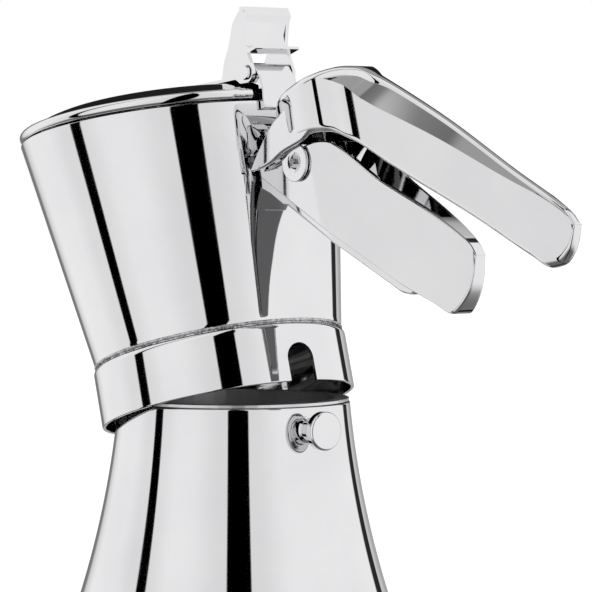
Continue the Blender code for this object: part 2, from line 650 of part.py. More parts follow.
def make_lid_tab():
    """Bent sheet thumb tab: two flanges on the hinge pin, a web behind them and a foot on the lid."""
    inner = KNUCKLE_HW + GAP
    outer = inner + TAB_SHEET
    px, pz = LID_PIN_X, LID_PIN_Z
    foot_x = 18.0 * MM
    foot_t = 0.9 * MM

    def lid_top(x):
        drop = max(0.0, x - (LID_R - 22 * MM)) * 0.12
        return rim_height(x) + LID_LIFT + LID_EDGE_H + LID_DOME_H - drop + GAP

    flange = arc(px, pz, 3.0 * MM, -60, 20, 4)
    flange += [(px + 1.6 * MM, pz + 8.5 * MM), (px + 5.0 * MM, pz + 14.5 * MM), (px + 5.2 * MM, TAB_TOP_Z - 1 * MM),
               (px + 2.4 * MM, TAB_TOP_Z), (px - 1.4 * MM, TAB_TOP_Z - 2.0 * MM), (px - 6.5 * MM, pz + 9.0 * MM),
               (px - 11.0 * MM, lid_top(px - 11 * MM) + 2.0 * MM), (px - 12.0 * MM, lid_top(px - 12 * MM)),
               (px - 5.2 * MM, lid_top(px - 5.2 * MM)), (px - 3.4 * MM, pz - 2.2 * MM)]
    tab = add_object("lid_tab", plate(flange, -outer, -inner), STEEL)
    boolean(tab, cutter("far_flange", plate(flange, inner, outer)), "UNION")
    web = [(px + 2.6 * MM, pz + 5.2 * MM), (px + 6.6 * MM, pz + 5.5 * MM), (px + 6.4 * MM, pz + 6.5 * MM),
           (px + 2.4 * MM, pz + 6.7 * MM), (px + 1.9 * MM, pz + 8.8 * MM), (px + 5.6 * MM, pz + 14.6 * MM),
           (px + 5.8 * MM, TAB_TOP_Z - 1 * MM), (px + 2.8 * MM, TAB_TOP_Z + 0.5 * MM),
           (px + 1.2 * MM, TAB_TOP_Z - 0.2 * MM), (px + 4.2 * MM, TAB_TOP_Z - 1.8 * MM),
           (px + 4.0 * MM, pz + 15.0 * MM), (px + 0.6 * MM, pz + 9.0 * MM), (px + 0.7 * MM, pz + 4.9 * MM)]
    boolean(tab, cutter("web", plate(web, -outer, outer)), "UNION")
    x0, x1 = px - 6.0 * MM, foot_x
    foot = [(x0, lid_top(x0)), (x0, lid_top(x0) + foot_t)]
    foot += [(x1 + 4 * MM, lid_top(x1 + 4 * MM) + foot_t), (x1, lid_top(x1) + 0.4 * MM), (x1, lid_top(x1))]
    boolean(tab, cutter("foot", plate(foot, -outer, outer)), "UNION")
    hole = move(to_axis_y(prism(SMALL_ROUND, LID_PIN_R + GAP, -14 * MM, 14 * MM)), (px, 0, pz))
    return boolean(tab, cutter("tab_hole_cutter", hole))


# ---- handle --------------------------------------------------------------------------------------
HANDLE_TOP = [(46 * MM, 44 * MM), (72 * MM, 44 * MM), (76.6 * MM, 43.0 * MM), (93.7 * MM, 26.9 * MM),
              (110.1 * MM, 12.6 * MM), (117.6 * MM, 5.2 * MM), (121.6 * MM, 0.2 * MM), (HANDLE_TIP_X, -2.8 * MM)]
HANDLE_LOW = [(46 * MM, 41.0 * MM), (47.9 * MM, 39.3 * MM), (88.0 * MM, 2.4 * MM), (95.0 * MM, -4.1 * MM),
              (104.5 * MM, -11.5 * MM), (111.1 * MM, -16.4 * MM), (113.2 * MM, -15.6 * MM),
              (117.8 * MM, -12.2 * MM), (120.8 * MM, -8.0 * MM), (HANDLE_TIP_X, -2.8 * MM)]
LEVER_TOP = [(56.0 * MM, 53.2 * MM), (57.5 * MM, 56.6 * MM), (61 * MM, 59.6 * MM), (68 * MM, 61.3 * MM),
             (76 * MM, 62.3 * MM), (84 * MM, 62.7 * MM), (89.5 * MM, 61.4 * MM), (95 * MM, 57.2 * MM),
             (102.6 * MM, 51.2 * MM), (120.1 * MM, 36.5 * MM), (142.2 * MM, 15.9 * MM), (156.8 * MM, 2.7 * MM),
             (160.0 * MM, -0.8 * MM), (LEVER_TIP_X, -4.7 * MM)]
LEVER_LOW = [(56.0 * MM, 48.0 * MM), (58 * MM, 46.6 * MM), (66 * MM, 46.0 * MM), (76 * MM, 45.4 * MM),
             (83 * MM, 43.6 * MM), (89 * MM, 39.4 * MM), (99 * MM, 30.4 * MM), (128.5 * MM, 5.6 * MM),
             (144.6 * MM, -9.0 * MM), (150.4 * MM, -13.6 * MM), (153.8 * MM, -13.8 * MM), (157.9 * MM, -11.7 * MM),
             (160.6 * MM, -8.1 * MM), (LEVER_TIP_X, -4.7 * MM)]
LEVER_WIDTH = [(56.0 * MM, 5.0 * MM), (57.5 * MM, 8.4 * MM), (61 * MM, 11.6 * MM), (67 * MM, 13.4 * MM),
               (74 * MM, 13.9 * MM), (80 * MM, 13.5 * MM), (86 * MM, 11.8 * MM), (91 * MM, 10.0 * MM),
               (96 * MM, 9.1 * MM), (102 * MM, 8.5 * MM), (LEVER_TIP_X, LEVER_TIP_HW)]
LEVER_RIDGE = [(56.0 * MM, 5.0 * MM), (57.5 * MM, 8.4 * MM), (61 * MM, 11.6 * MM), (67 * MM, 13.3 * MM),
               (74 * MM, 13.3 * MM), (80 * MM, 11.6 * MM), (86 * MM, 7.6 * MM), (91 * MM, 4.2 * MM),
               (96 * MM, 2.3 * MM), (102 * MM, 1.7 * MM), (LEVER_TIP_X, 1.2 * MM)]


def make_lower_handle():
    places = stations(47.0 * MM, HANDLE_TIP_X, 26)
    rings = [blade_section(x, handle_half_width(x), handle_half_width(x), smooth_through(HANDLE_LOW, x),
                           smooth_through(HANDLE_TOP, x), 0.8 * MM, 0.5 * MM) for x in places]
    handle = add_object("lower_handle", loft(rings), STEEL)
    rings = [blade_section(x, handle_half_width(x) - HANDLE_WALL, handle_half_width(x) - HANDLE_WALL,
                           smooth_through(HANDLE_LOW, x) + HANDLE_FLOOR,
                           smooth_through(HANDLE_TOP, x) + HANDLE_FLOOR, 0.8 * MM, 0.8 * MM, 2)
             for x in stations(TROUGH_START_X, TROUGH_END_X, 12)]
    boolean(handle, cutter("trough_cutter", loft(rings)))
    root_hw = HANDLE_ROOT_HW - CHEEK_T
    boolean(handle, cutter("root_cutter", box((40 * MM, -root_hw, 0), (56.4 * MM, root_hw, 60 * MM))))
    slot = box((55 * MM, -SLOT_HW, PIVOT_Z - 7.0 * MM), (PIVOT_X + 8 * MM, SLOT_HW, 60 * MM))
    boolean(handle, cutter("slot_cutter", slot))
    hole = to_axis_y(prism(SMALL_ROUND, SHANK_R + GAP, -20 * MM, 20 * MM))
    return boolean(handle, cutter("pivot_hole_cutter", move(hole, (PIVOT_X, 0, PIVOT_Z))))


def make_handle_spine():
    """Block welded to the cone between the handle's cheeks, running on as a rib under the handle."""
    root_hw = HANDLE_ROOT_HW - CHEEK_T - GAP

    def under(x, drop):
        return smooth_through(HANDLE_LOW, x) - drop

    drops = [56.0 * MM, 66 * MM, 76 * MM, 86 * MM, 92 * MM]
    outline = [(38 * MM, 43.5 * MM), (56.0 * MM, 43.5 * MM)]
    outline += [(x, under(x, 0.5 * MM)) for x in drops]
    outline += [(96 * MM, under(96 * MM, 0.5 * MM)), (96.6 * MM, under(96.6 * MM, 2.2 * MM))]
    outline += [(x, under(x, 4.4 * MM)) for x in reversed(drops)]
    outline += [(47 * MM, under(47.9 * MM, 3.4 * MM)), (38 * MM, under(47.9 * MM, 3.0 * MM) + 6 * MM)]
    spine = add_object("handle_spine", plate(outline, -root_hw, root_hw), STEEL)
    for v in spine.data.vertices:
        if v.co.x > 60 * MM:
            v.co.y *= (handle_half_width(v.co.x) - CHEEK_T) / (root_hw + GAP)
    body = turned([(0, -10 * MM), (cone_radius(-10 * MM) + GAP, -10 * MM), (cone_radius(80 * MM) + GAP, 80 * MM),
                   (0, 80 * MM)], ROUND, closed=False)
    return boolean(spine, cutter("cone_cutter", body))


def make_upper_lever():
    places = stations(56.0 * MM, LEVER_TIP_X, 34)
    rings = [blade_section(x, smooth_through(LEVER_WIDTH, x), smooth_through(LEVER_RIDGE, x),
                             smooth_through(LEVER_LOW, x), smooth_through(LEVER_TOP, x), 2.6 * MM, 2.6 * MM)
             for x in places]
    lever = add_object("upper_lever", loft(rings), STEEL)
    cheek = [(46.7 * MM, 42.0 * MM), (50.5 * MM, 42.0 * MM), (55.2 * MM, 42.3 * MM), (63 * MM, 44.0 * MM),
             (71.2 * MM, 44.6 * MM), (76 * MM, 46.4 * MM), (76.6 * MM, 50 * MM), (74 * MM, 54 * MM),
             (68 * MM, 55.6 * MM), (61.5 * MM, 53.6 * MM), (55 * MM, 49.6 * MM), (49.2 * MM, 45.2 * MM)]
    inside = HANDLE_ROOT_HW + GAP + SCREW_FACE + GAP
    outside = inside + CHEEK_T
    for side in (-1, 1):
        low, high = sorted((side * inside, side * outside))
        claw = cutter("claw", plate(cheek, low, high))
        boolean(lever, claw, "UNION")
    rings = [blade_section(x, smooth_through(LEVER_WIDTH, x) - LEVER_WALL,
                             max(smooth_through(LEVER_RIDGE, x) - LEVER_WALL, 0.5 * MM),
                             smooth_through(LEVER_LOW, x) - 6 * MM,
                             smooth_through(LEVER_TOP, x) - LEVER_WALL - 0.6 * MM, 1.0 * MM, 1.6 * MM, 2)
             for x in stations(62.0 * MM, 136.0 * MM, 20)]
    return boolean(lever, cutter("lever_hollow_cutter", loft(rings)))


def make_lever_tongue():
    """Plate inside the lever that turns on the pivot screw between the handle's cheeks."""
    boss = 5.6 * MM
    root = 57.6 * MM
    outline = arc(PIVOT_X, PIVOT_Z, boss, -200, 20, 12)
    outline += [(73.4 * MM, 47.0 * MM), (73.4 * MM, root), (66 * MM, root), (64 * MM, 50 * MM), (63 * MM, 45.2 * MM)]
    tongue = add_object("lever_tongue", plate(outline, -TONGUE_HW, TONGUE_HW), STEEL)
    hole = to_axis_y(prism(SMALL_ROUND, SHANK_R + GAP, -20 * MM, 20 * MM))
    return boolean(tongue, cutter("tongue_hole_cutter", move(hole, (PIVOT_X, 0, PIVOT_Z))))


def make_pivot():
    """Socket-head pivot screw from the near side and its round nut on the far side."""
    under = HANDLE_ROOT_HW + GAP
    face = under + SCREW_FACE - 0.1 * MM
    edge = 0.4 * MM
    profile = [(0, -under), (SHANK_R, -under), (SHANK_R, under), (SCREW_R, under), (SCREW_R, face - edge),
               (SCREW_R - edge, face), (0, face)]
    screw = add_object("pivot_screw", to_axis_y(turned(profile, SMALL_ROUND, closed=False)), STEEL)
    socket = to_axis_y(prism(6, 2.3 * MM, face - 3.4 * MM, face + 2 * MM))
    boolean(screw, cutter("socket_cutter", socket))
    nut_profile = [(0, -under - GAP), (SCREW_R, -under - GAP), (SCREW_R, -face + edge), (SCREW_R - edge, -face),
                   (0, -face)]
    nut = add_object("pivot_nut", to_axis_y(turned(nut_profile, SMALL_ROUND, closed=False)), STEEL)
    for obj in (screw, nut):
        obj.data.transform(Matrix.Translation((PIVOT_X, 0, PIVOT_Z)))
    return screw, nut


def make_lever_spring():
    """Coil on the pivot screw that presses the tongue sideways, so the lever stays where it is put."""
    start = TONGUE_HW + GAP
    bm = coil(3.7 * MM, 0.45 * MM, 2, SLOT_HW - GAP - start)
    bm = to_axis_y(bm)
    return add_object("lever_friction_spring", move(bm, (PIVOT_X, -start, PIVOT_Z)), SPRING_STEEL)


# ---- assembly ------------------------------------------------------------------------------------
def main():
    root = empty("stand", (0, 0, 0))
    for obj in (make_base_disc(), make_boiler_shell(), make_lock_stud(), *make_front_hook(), *make_funnel()):
        place(obj, root, (0, 0, 0))
    valve_at = valve_frame().translation
    for obj in make_valve():
        place(obj, root, valve_at)

    axis = (HOOK_X, 0, HOOK_Z - SEAM_Z)
    tilt_axis = empty("tilt_axis", axis)
    tilt_axis.location = (HOOK_X, 0, HOOK_Z)
    tilt_axis.rotation_euler = (0, -TILT, 0)
    collector = (make_collar(), make_collar_tongue(), make_cone_shell(), *make_chamber_floor(), make_gasket(),
                 sieve("filter_plate", GASKET_BORE_R - GAP, GASKET_Z + 0.6 * MM, STEEL),
                 make_lid_hinge_bracket(), make_lid_hinge_pin(), make_lower_handle(), make_handle_spine(),
                 *make_pivot(), make_lever_spring())
    for obj in collector:
        place(obj, tilt_axis, (0, 0, 0))
    latch_axis = empty("latch_axis", (0, 0, 0), tilt_axis)
    place(make_latch_strip(), latch_axis, (0, 0, 0))
    lever_axis = empty("lever_axis", (PIVOT_X, 0, PIVOT_Z), tilt_axis)
    for obj in (make_upper_lever(), make_lever_tongue()):
        place(obj, lever_axis, (PIVOT_X, 0, PIVOT_Z))
    lid_axis = empty("lid_axis", (LID_PIN_X, 0, LID_PIN_Z), tilt_axis)
    for obj in (make_lid_shell(), make_lid_tab()):
        place(obj, lid_axis, (LID_PIN_X, 0, LID_PIN_Z))


clear_scene()
STEEL = material("polished_steel", (0.78, 0.78, 0.79), 1.0, 0.06)
BRUSHED = material("brushed_steel", (0.66, 0.66, 0.67), 1.0, 0.32)
SPRING_STEEL = material("spring_steel", (0.5, 0.5, 0.52), 1.0, 0.25)
ALUMINIUM = material("aluminium", (0.72, 0.72, 0.73), 1.0, 0.3)
BRASS = material("brass", (0.78, 0.6, 0.28), 1.0, 0.22)
RUBBER = material("seal_rubber", (0.82, 0.81, 0.77), 0.0, 0.6)
main()
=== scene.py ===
"""Lever-lock stovetop coffee maker: finished shells, handle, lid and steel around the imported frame."""

import json
from math import atan2, cos, exp, pi, radians, sin, sqrt, tan

import bmesh
import bpy
from bpy.props import FloatProperty, FloatVectorProperty, IntProperty, PointerProperty
from mathutils import Matrix, Vector


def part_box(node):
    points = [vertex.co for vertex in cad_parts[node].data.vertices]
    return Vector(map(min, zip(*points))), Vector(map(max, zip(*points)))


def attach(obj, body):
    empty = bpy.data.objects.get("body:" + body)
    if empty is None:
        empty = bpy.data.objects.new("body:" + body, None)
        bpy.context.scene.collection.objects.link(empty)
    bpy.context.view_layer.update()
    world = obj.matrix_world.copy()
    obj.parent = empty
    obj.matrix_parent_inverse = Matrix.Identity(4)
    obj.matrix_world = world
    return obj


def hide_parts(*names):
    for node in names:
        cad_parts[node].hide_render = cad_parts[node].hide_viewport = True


bl_info = {
    "name": "Lever-lock coffee maker",
    "version": (1, 0, 0),
    "blender": (4, 5, 0),
    "location": "3D View > Sidebar > Coffee maker",
    "description": "Builds the polished shells, lid, lever and handle around the working frame",
    "category": "Object",
}

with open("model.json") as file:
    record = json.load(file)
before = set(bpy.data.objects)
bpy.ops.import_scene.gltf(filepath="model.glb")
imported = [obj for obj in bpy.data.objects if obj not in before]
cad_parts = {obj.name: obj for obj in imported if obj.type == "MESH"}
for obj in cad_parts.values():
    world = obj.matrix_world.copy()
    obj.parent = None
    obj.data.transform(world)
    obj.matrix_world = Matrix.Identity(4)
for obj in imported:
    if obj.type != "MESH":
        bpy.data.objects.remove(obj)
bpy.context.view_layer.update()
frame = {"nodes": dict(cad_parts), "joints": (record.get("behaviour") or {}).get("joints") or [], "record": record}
JOINTS = {joint["name"]: joint for joint in frame["joints"]}
TILT_JOINT = JOINTS["collector_tilt"]
MM = 0.001
BORE_SIDES = 48


# ---- user settings -------------------------------------------------------------------------------
def length(name, description, default):
    return FloatProperty(name=name, description=description, default=default, min=0.0,
                         subtype="DISTANCE", unit="LENGTH", precision=5)


def colour(name, description, default):
    return FloatVectorProperty(name=name, description=description, default=default, size=3, min=0.0,
                               max=1.0, subtype="COLOR")


class PotSizes(bpy.types.PropertyGroup):
    """Sizes of the visible shells."""
    rim_z: length("Boiler rim height", "Height of the boiler's rim above the table", 84.0 * MM)
    rim_r: length("Boiler rim radius", "Outer radius of the boiler's mouth", 34.9 * MM)
    seam_lift: length("Seam lift", "Closed collector's seam above the boiler's rim", 5.3 * MM)
    seam_r: length("Seam radius", "Radius of the cone where it meets the collar", 37.8 * MM)
    collar_r: length("Collar radius", "Outer radius of the locking collar", 38.5 * MM)
    collar_h: length("Collar height", "Height of the locking collar", 18.5 * MM)
    cone_h: length("Cone height", "Seam to rim on the axis", 68.8 * MM)
    cone_r: length("Cone rim radius", "Radius of the cone at its rim", 48.9 * MM)
    wall: length("Sheet", "Wall of the cone and boiler", 1.0 * MM)
    notch_w: length("Notch width", "Width of the notch over the lock stud", 9.5 * MM)
    lid_r: length("Lid radius", "Radius of the lid's rolled edge", 49.3 * MM)
    slant: FloatProperty(name="Rim slant", description="Slope of the rim down to the handle",
                         default=radians(5.66), subtype="ANGLE", unit="ROTATION")
    rounds: IntProperty(name="Roundness", description="Steps around a large turned shell", default=224,
                        min=48, max=512)


class PotFinish(bpy.types.PropertyGroup):
    """Colours and polish."""
    steel: colour("Steel", "Colour of the polished steel", (0.80, 0.80, 0.81))
    steel_dark: colour("Worn steel", "Steel where polish is thinner", (0.72, 0.72, 0.735))
    polish: FloatProperty(name="Polish", description="Roughness of the mirror finish", default=0.035,
                          min=0.0, max=1.0, subtype="FACTOR")
    scratch: length("Scratch depth", "Depth of the finest polishing marks", 0.0025 * MM)
    brass: colour("Brass", "Colour of the valve", (0.78, 0.60, 0.28))
    aluminium: colour("Aluminium", "Colour of the funnel", (0.74, 0.74, 0.75))
    silicone: colour("Seal", "Colour of the seals", (0.82, 0.81, 0.77))


class PotStage(bpy.types.PropertyGroup):
    """Camera and studio."""
    azimuth: FloatProperty(name="Camera azimuth", description="Where the camera stands around the pot",
                           default=radians(51.6), subtype="ANGLE", unit="ROTATION")
    elevation: FloatProperty(name="Camera elevation", description="Camera angle above the horizon",
                             default=radians(2.28), subtype="ANGLE", unit="ROTATION")
    distance: length("Camera distance", "From the aim point to the camera", 927.7 * MM)
    aim_side: length("Aim side", "Aim point to the right of the boiler's axis", 18.63 * MM)
    aim_height: length("Aim height", "Aim point above the table", 115.55 * MM)
    lens: FloatProperty(name="Lens", description="Focal length in millimetres", default=187.55, min=1.0)
    tent: FloatProperty(name="Tent brightness", description="Brightness of the white studio tent",
                        default=1.0, min=0.0)


# ---- mesh helpers --------------------------------------------------------------------------------
def settings():
    scene = bpy.context.scene
    return scene.pot_sizes, scene.pot_finish, scene.pot_stage


def collector_matrix():
    """From collector terms, heights measured from its seam, to where the tilted collector lies."""
    sizes = settings()[0]
    hook = Vector(TILT_JOINT["pos_m"])
    tilt = -radians(TILT_JOINT["range_deg"][0])
    lifted = Matrix.Translation(Vector((0, 0, sizes.rim_z + sizes.seam_lift)) - hook)
    return Matrix.Translation(hook) @ Matrix.Rotation(-tilt, 4, "Y") @ lifted


def arc(cx, cz, r, start, end, steps):
    angles = [radians(start + (end - start) * i / steps) for i in range(steps + 1)]
    return [(cx + r * cos(a), cz + r * sin(a)) for a in angles]


def through(points, x):
    """A smooth curve through a few (x, value) points that doesn't overshoot between them."""
    xs, ys = zip(*points)
    if x <= xs[0]:
        return ys[0]
    if x >= xs[-1]:
        return ys[-1]
    slopes = [(ys[i + 1] - ys[i]) / (xs[i + 1] - xs[i]) for i in range(len(xs) - 1)]
    tangents = [slopes[0]]
    for a, b in zip(slopes, slopes[1:]):
        tangents.append(2 * a * b / (a + b) if a * b > 0 else 0.0)
    tangents.append(slopes[-1])
    i = max(k for k in range(len(xs) - 1) if xs[k] <= x)
    h = xs[i + 1] - xs[i]
    t = (x - xs[i]) / h
    return ((1 + 2 * t) * (1 - t) ** 2 * ys[i] + t * (1 - t) ** 2 * h * tangents[i]
            + t * t * (3 - 2 * t) * ys[i + 1] + t * t * (t - 1) * h * tangents[i + 1])


def in_mm(points):
    return [(x * MM, z * MM) for x, z in points]


def turned(profile, steps, closed=True):
    """A solid of revolution about Z from (radius, height) points."""
    bm = bmesh.new()
    verts = [bm.verts.new((r, 0.0, z)) for r, z in profile]
    pairs = list(zip(verts, verts[1:] + verts[:1])) if closed else list(zip(verts, verts[1:]))
    edges = [bm.edges.new(pair) for pair in pairs]
    bmesh.ops.spin(bm, geom=verts + edges, cent=(0, 0, 0), axis=(0, 0, 1), angle=2 * pi, steps=steps,
                   use_duplicate=False)
    return bm


def loft(rings):
    """Skins rings of equal length and closes both ends."""
    bm = bmesh.new()
    loops = [[bm.verts.new(p) for p in ring] for ring in rings]
    count = len(rings[0])
    for a, b in zip(loops, loops[1:]):
        for i in range(count):
            j = (i + 1) % count
            bm.faces.new((a[i], a[j], b[j], b[i]))
    bm.faces.new(loops[0])
    bm.faces.new(list(reversed(loops[-1])))
    return bm


def wrap(rings):
    """Skins closed rings, one after the other, back round to the first."""
    bm = bmesh.new()
    loops = [[bm.verts.new(p) for p in ring] for ring in rings]
    for i, a in enumerate(loops):
        b = loops[(i + 1) % len(loops)]
        for k in range(len(a)):
            n = (k + 1) % len(a)
            bm.faces.new((a[k], b[k], b[n], a[n]))
    return bm


def section(x, y_low, y_high, z_low, z_high, r_low, r_high, steps, ridge=None):
    """A ring across a blade at x: upright flanks, round corners, and a 45 degree roof up to a ridge."""
    half_w = max((y_high - y_low) / 2, 0.12 * MM)
    half_h = max((z_high - z_low) / 2, 0.12 * MM)
    cy, cz = (y_high + y_low) / 2, (z_high + z_low) / 2
    ridge = half_w if ridge is None else min(ridge, half_w)
    r_high = min(r_high, ridge * 0.98, half_h * 0.98)
    r_low = min(r_low, half_w * 0.98, half_h * 0.98)
    eave = max(half_h - max(half_w - ridge, r_high * 1.02), 0.0)
    points = [(half_w, eave)]
    points += arc(ridge - r_high, half_h - r_high, r_high, 0, 90, steps)
    points += arc(r_high - ridge, half_h - r_high, r_high, 90, 180, steps)
    points += [(-half_w, eave)]
    points += arc(r_low - half_w, r_low - half_h, r_low, 180, 270, steps)
    points += arc(half_w - r_low, r_low - half_h, r_low, 270, 360, steps)
    return [(x, cy + y, cz + z) for y, z in points]


def plate(outline, y0, y1):
    """An (x, z) outline extruded along Y."""
    bm = bmesh.new()
    face = bm.faces.new([bm.verts.new((x, y0, z)) for x, z in outline])
    made = bmesh.ops.extrude_face_region(bm, geom=[face])
    moved = [v for v in made["geom"] if isinstance(v, bmesh.types.BMVert)]
    bmesh.ops.translate(bm, verts=moved, vec=(0, y1 - y0, 0))
    return bm


def prism(sides, r, z0, z1):
    bm = bmesh.new()
    bmesh.ops.create_cone(bm, cap_ends=True, segments=sides, radius1=r, radius2=r, depth=z1 - z0)
    bmesh.ops.translate(bm, verts=bm.verts, vec=(0, 0, (z0 + z1) / 2))
    return bm


def turn_to(bm, axis):
    """Turns a piece made about Z: its top goes towards +X, or towards -Y."""
    name, angle = {"X": ("Y", 90), "Y": ("X", 90)}[axis]
    bmesh.ops.rotate(bm, verts=bm.verts, cent=(0, 0, 0), matrix=Matrix.Rotation(radians(angle), 3, name))
    return bm


def solid(name, bm, sharp=30.0):
    bmesh.ops.remove_doubles(bm, verts=bm.verts, dist=1e-6)
    bmesh.ops.recalc_face_normals(bm, faces=bm.faces)
    mesh = bpy.data.meshes.new(name)
    bm.to_mesh(mesh)
    bm.free()
    mesh.shade_smooth()
    mesh.set_sharp_from_angle(angle=radians(sharp))
    obj = bpy.data.objects.new(name, mesh)
    bpy.context.scene.collection.objects.link(obj)
    return obj


def bake(obj):
    """Puts the object's modifiers into its mesh."""
    graph = bpy.context.evaluated_depsgraph_get()
    mesh = bpy.data.meshes.new_from_object(obj.evaluated_get(graph))
    obj.modifiers.clear()
    old = obj.data
    obj.data = mesh
    bpy.data.meshes.remove(old)
    return mesh


def apply(obj, sharp=30.0):
    """Bakes the modifiers and marks the sharp edges again."""
    mesh = bake(obj)
    mesh.shade_smooth()
    mesh.set_sharp_from_angle(angle=radians(sharp))


def combine(obj, bm, operation="DIFFERENCE"):
    """Cuts a shape from a piece, or joins one to it, and drops the shape."""
    tool = solid("shape", bm)
    mod = obj.modifiers.new("combine", "BOOLEAN")
    mod.operation = operation
    mod.object = tool
    mod.solver = "EXACT"
    apply(obj)
    bpy.data.objects.remove(tool, do_unlink=True)


def bore(obj, radius, reach, at):
    """Drills a round hole along Y through a piece at (x, z)."""
    hole = turn_to(prism(BORE_SIDES, radius, -reach, reach), "Y")
    bmesh.ops.translate(hole, verts=hole.verts, vec=(at[0], 0, at[1]))
    combine(obj, hole)


def soften(obj, width, segments=4, angle=35.0):
    """Rounds the edges that are sharper than an angle."""
    mod = obj.modifiers.new("soften", "BEVEL")
    mod.width = width
    mod.segments = segments
    mod.limit_method = "ANGLE"
    mod.angle_limit = radians(angle)
    mod.harden_normals = False
    apply(obj, 40.0)


def finish_piece(obj, body, material, nodes, collector=True):
    """Lays a piece in the row frame, gives it its finish, ties it to its body and hides the CAD nodes it stands in
    for.
    """
    mod = obj.modifiers.new("flat faces", "WEIGHTED_NORMAL")
    mod.weight = 50
    mod.keep_sharp = True
    bake(obj)
    if collector:
        obj.data.transform(collector_matrix())
    obj.data.materials.clear()
    obj.data.materials.append(material)
    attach(obj, body)
    if nodes:
        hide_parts(*nodes)


# ---- materials -----------------------------------------------------------------------------------
class Nodes:
    """A small builder for node materials."""

    def __init__(self, name):
        self.mat = bpy.data.materials.new(name)
        self.mat.use_nodes = True
        self.tree = self.mat.node_tree
        self.shader = self.tree.nodes["Principled BSDF"]
        self.place = self.new("ShaderNodeTexCoord").outputs["Object"]

    def new(self, kind, **values):
        node = self.tree.nodes.new(kind)
        for key, value in values.items():
            setattr(node, key, value)
        return node

    def link(self, a, b):
        self.tree.links.new(a, b)

    def noise(self, scale, detail=3.0, stretch=(1, 1, 1)):
        mapping = self.new("ShaderNodeMapping")
        mapping.inputs["Scale"].default_value = stretch
        self.link(self.place, mapping.inputs["Vector"])
        node = self.new("ShaderNodeTexNoise")
        node.inputs["Scale"].default_value = scale
        node.inputs["Detail"].default_value = detail
        self.link(mapping.outputs["Vector"], node.inputs["Vector"])
        return node.outputs["Fac"]

    def spread(self, value, low, high, from_low=0.3, from_high=0.7):
        node = self.new("ShaderNodeMapRange")
        self.link(value, node.inputs["Value"])
        for key, number in (("From Min", from_low), ("From Max", from_high),
                            ("To Min", low), ("To Max", high)):
            node.inputs[key].default_value = number
        return node.outputs["Result"]

    def blend(self, factor, one, other):
        node = self.new("ShaderNodeMix", data_type="RGBA")
        self.link(factor, node.inputs["Factor"])
        node.inputs["A"].default_value = (*one, 1)
        node.inputs["B"].default_value = (*other, 1)
        return node.outputs["Result"]

    def bump(self, height, depth):
        node = self.new("ShaderNodeBump")
        node.inputs["Strength"].default_value = 1.0
        node.inputs["Distance"].default_value = depth
        self.link(height, node.inputs["Height"])
        return node.outputs["Normal"]


def metal(name, tint, worn, rough_low, rough_high, scratch, grain=900.0, stretch=(1, 1, 1)):
    """Metal with cloudy polish, fine marks and a faint change of colour."""
    n = Nodes(name)
    n.shader.inputs["Metallic"].default_value = 1.0
    cloud = n.noise(38.0, 4.0)
    n.link(n.blend(n.spread(cloud, 0.0, 0.6), tint, worn), n.shader.inputs["Base Color"])
    marks = n.noise(grain, 2.0, stretch)
    mix = n.new("ShaderNodeMath", operation="MULTIPLY_ADD")
    n.link(marks, mix.inputs[0])
    mix.inputs[1].default_value = 0.35
    n.link(cloud, mix.inputs[2])
    rough = n.spread(mix.outputs["Value"], rough_low, rough_high, 0.45, 0.95)
    n.link(rough, n.shader.inputs["Roughness"])
    n.link(n.bump(marks, scratch), n.shader.inputs["Normal"])
    return n.mat


def polished_steel():
    mat = bpy.data.materials.get("polished_steel_mirror")
    if mat:
        return mat
    finish = settings()[1]
    return metal("polished_steel_mirror", finish.steel, finish.steel_dark, finish.polish * 0.6,
                 finish.polish * 1.7, finish.scratch * 0.1)


def weld_steel():
    """Ground weld: blotchy, matt and slightly darker."""
    finish = settings()[1]
    n = Nodes("ground_weld")
    n.shader.inputs["Metallic"].default_value = 1.0
    blot = n.noise(900.0, 4.0)
    tint = n.blend(n.spread(blot, 0.0, 1.0), (0.30, 0.30, 0.31), tuple(finish.steel))
    n.link(tint, n.shader.inputs["Base Color"])
    n.link(n.spread(n.noise(600.0), 0.16, 0.5), n.shader.inputs["Roughness"])
    n.link(n.bump(blot, 0.25 * MM), n.shader.inputs["Normal"])
    return n.mat


def silicone():
    finish = settings()[1]
    n = Nodes("seal_silicone")
    tint = tuple(finish.silicone)
    n.link(n.blend(n.spread(n.noise(60.0), 0.0, 1.0), tint, tuple(c * 0.9 for c in tint)),
           n.shader.inputs["Base Color"])
    n.link(n.spread(n.noise(400.0), 0.5, 0.68), n.shader.inputs["Roughness"])
    n.link(n.bump(n.noise(1500.0), 0.01 * MM), n.shader.inputs["Normal"])
    return n.mat


# ---- shells --------------------------------------------------------------------------------------
BOILER_SLOPE = 0.09          # outward flare per depth below the rim
BOILER_FLARE = 1.9           # extra flare per metre of depth squared
BASE_CORNER = 5.0 * MM
RIM_ROUND = 0.4 * MM
VALVE_HOLE_R = 3.95 * MM
VALVE_LEAN = atan2(0.228, 0.974)
STUD_NECK_R = 3.4 * MM
STUD_HEAD_T = 3.2 * MM
COLLAR_WALL = 1.1 * MM
NOTCH_TOP = -7.1 * MM        # below the seam
BEAD_R = 0.34 * MM
LIP_REACH = 4.0 * MM
LIP_WIDTH = 0.15             # spread of the pouring lip round the rim, in radians


def boiler_radius(z):
    sizes = settings()[0]
    depth = sizes.rim_z - z
    return sizes.rim_r + BOILER_SLOPE * depth + BOILER_FLARE * depth * depth


def cone_radius(z):
    sizes = settings()[0]
    return sizes.seam_r + (sizes.cone_r - sizes.seam_r) / sizes.cone_h * z


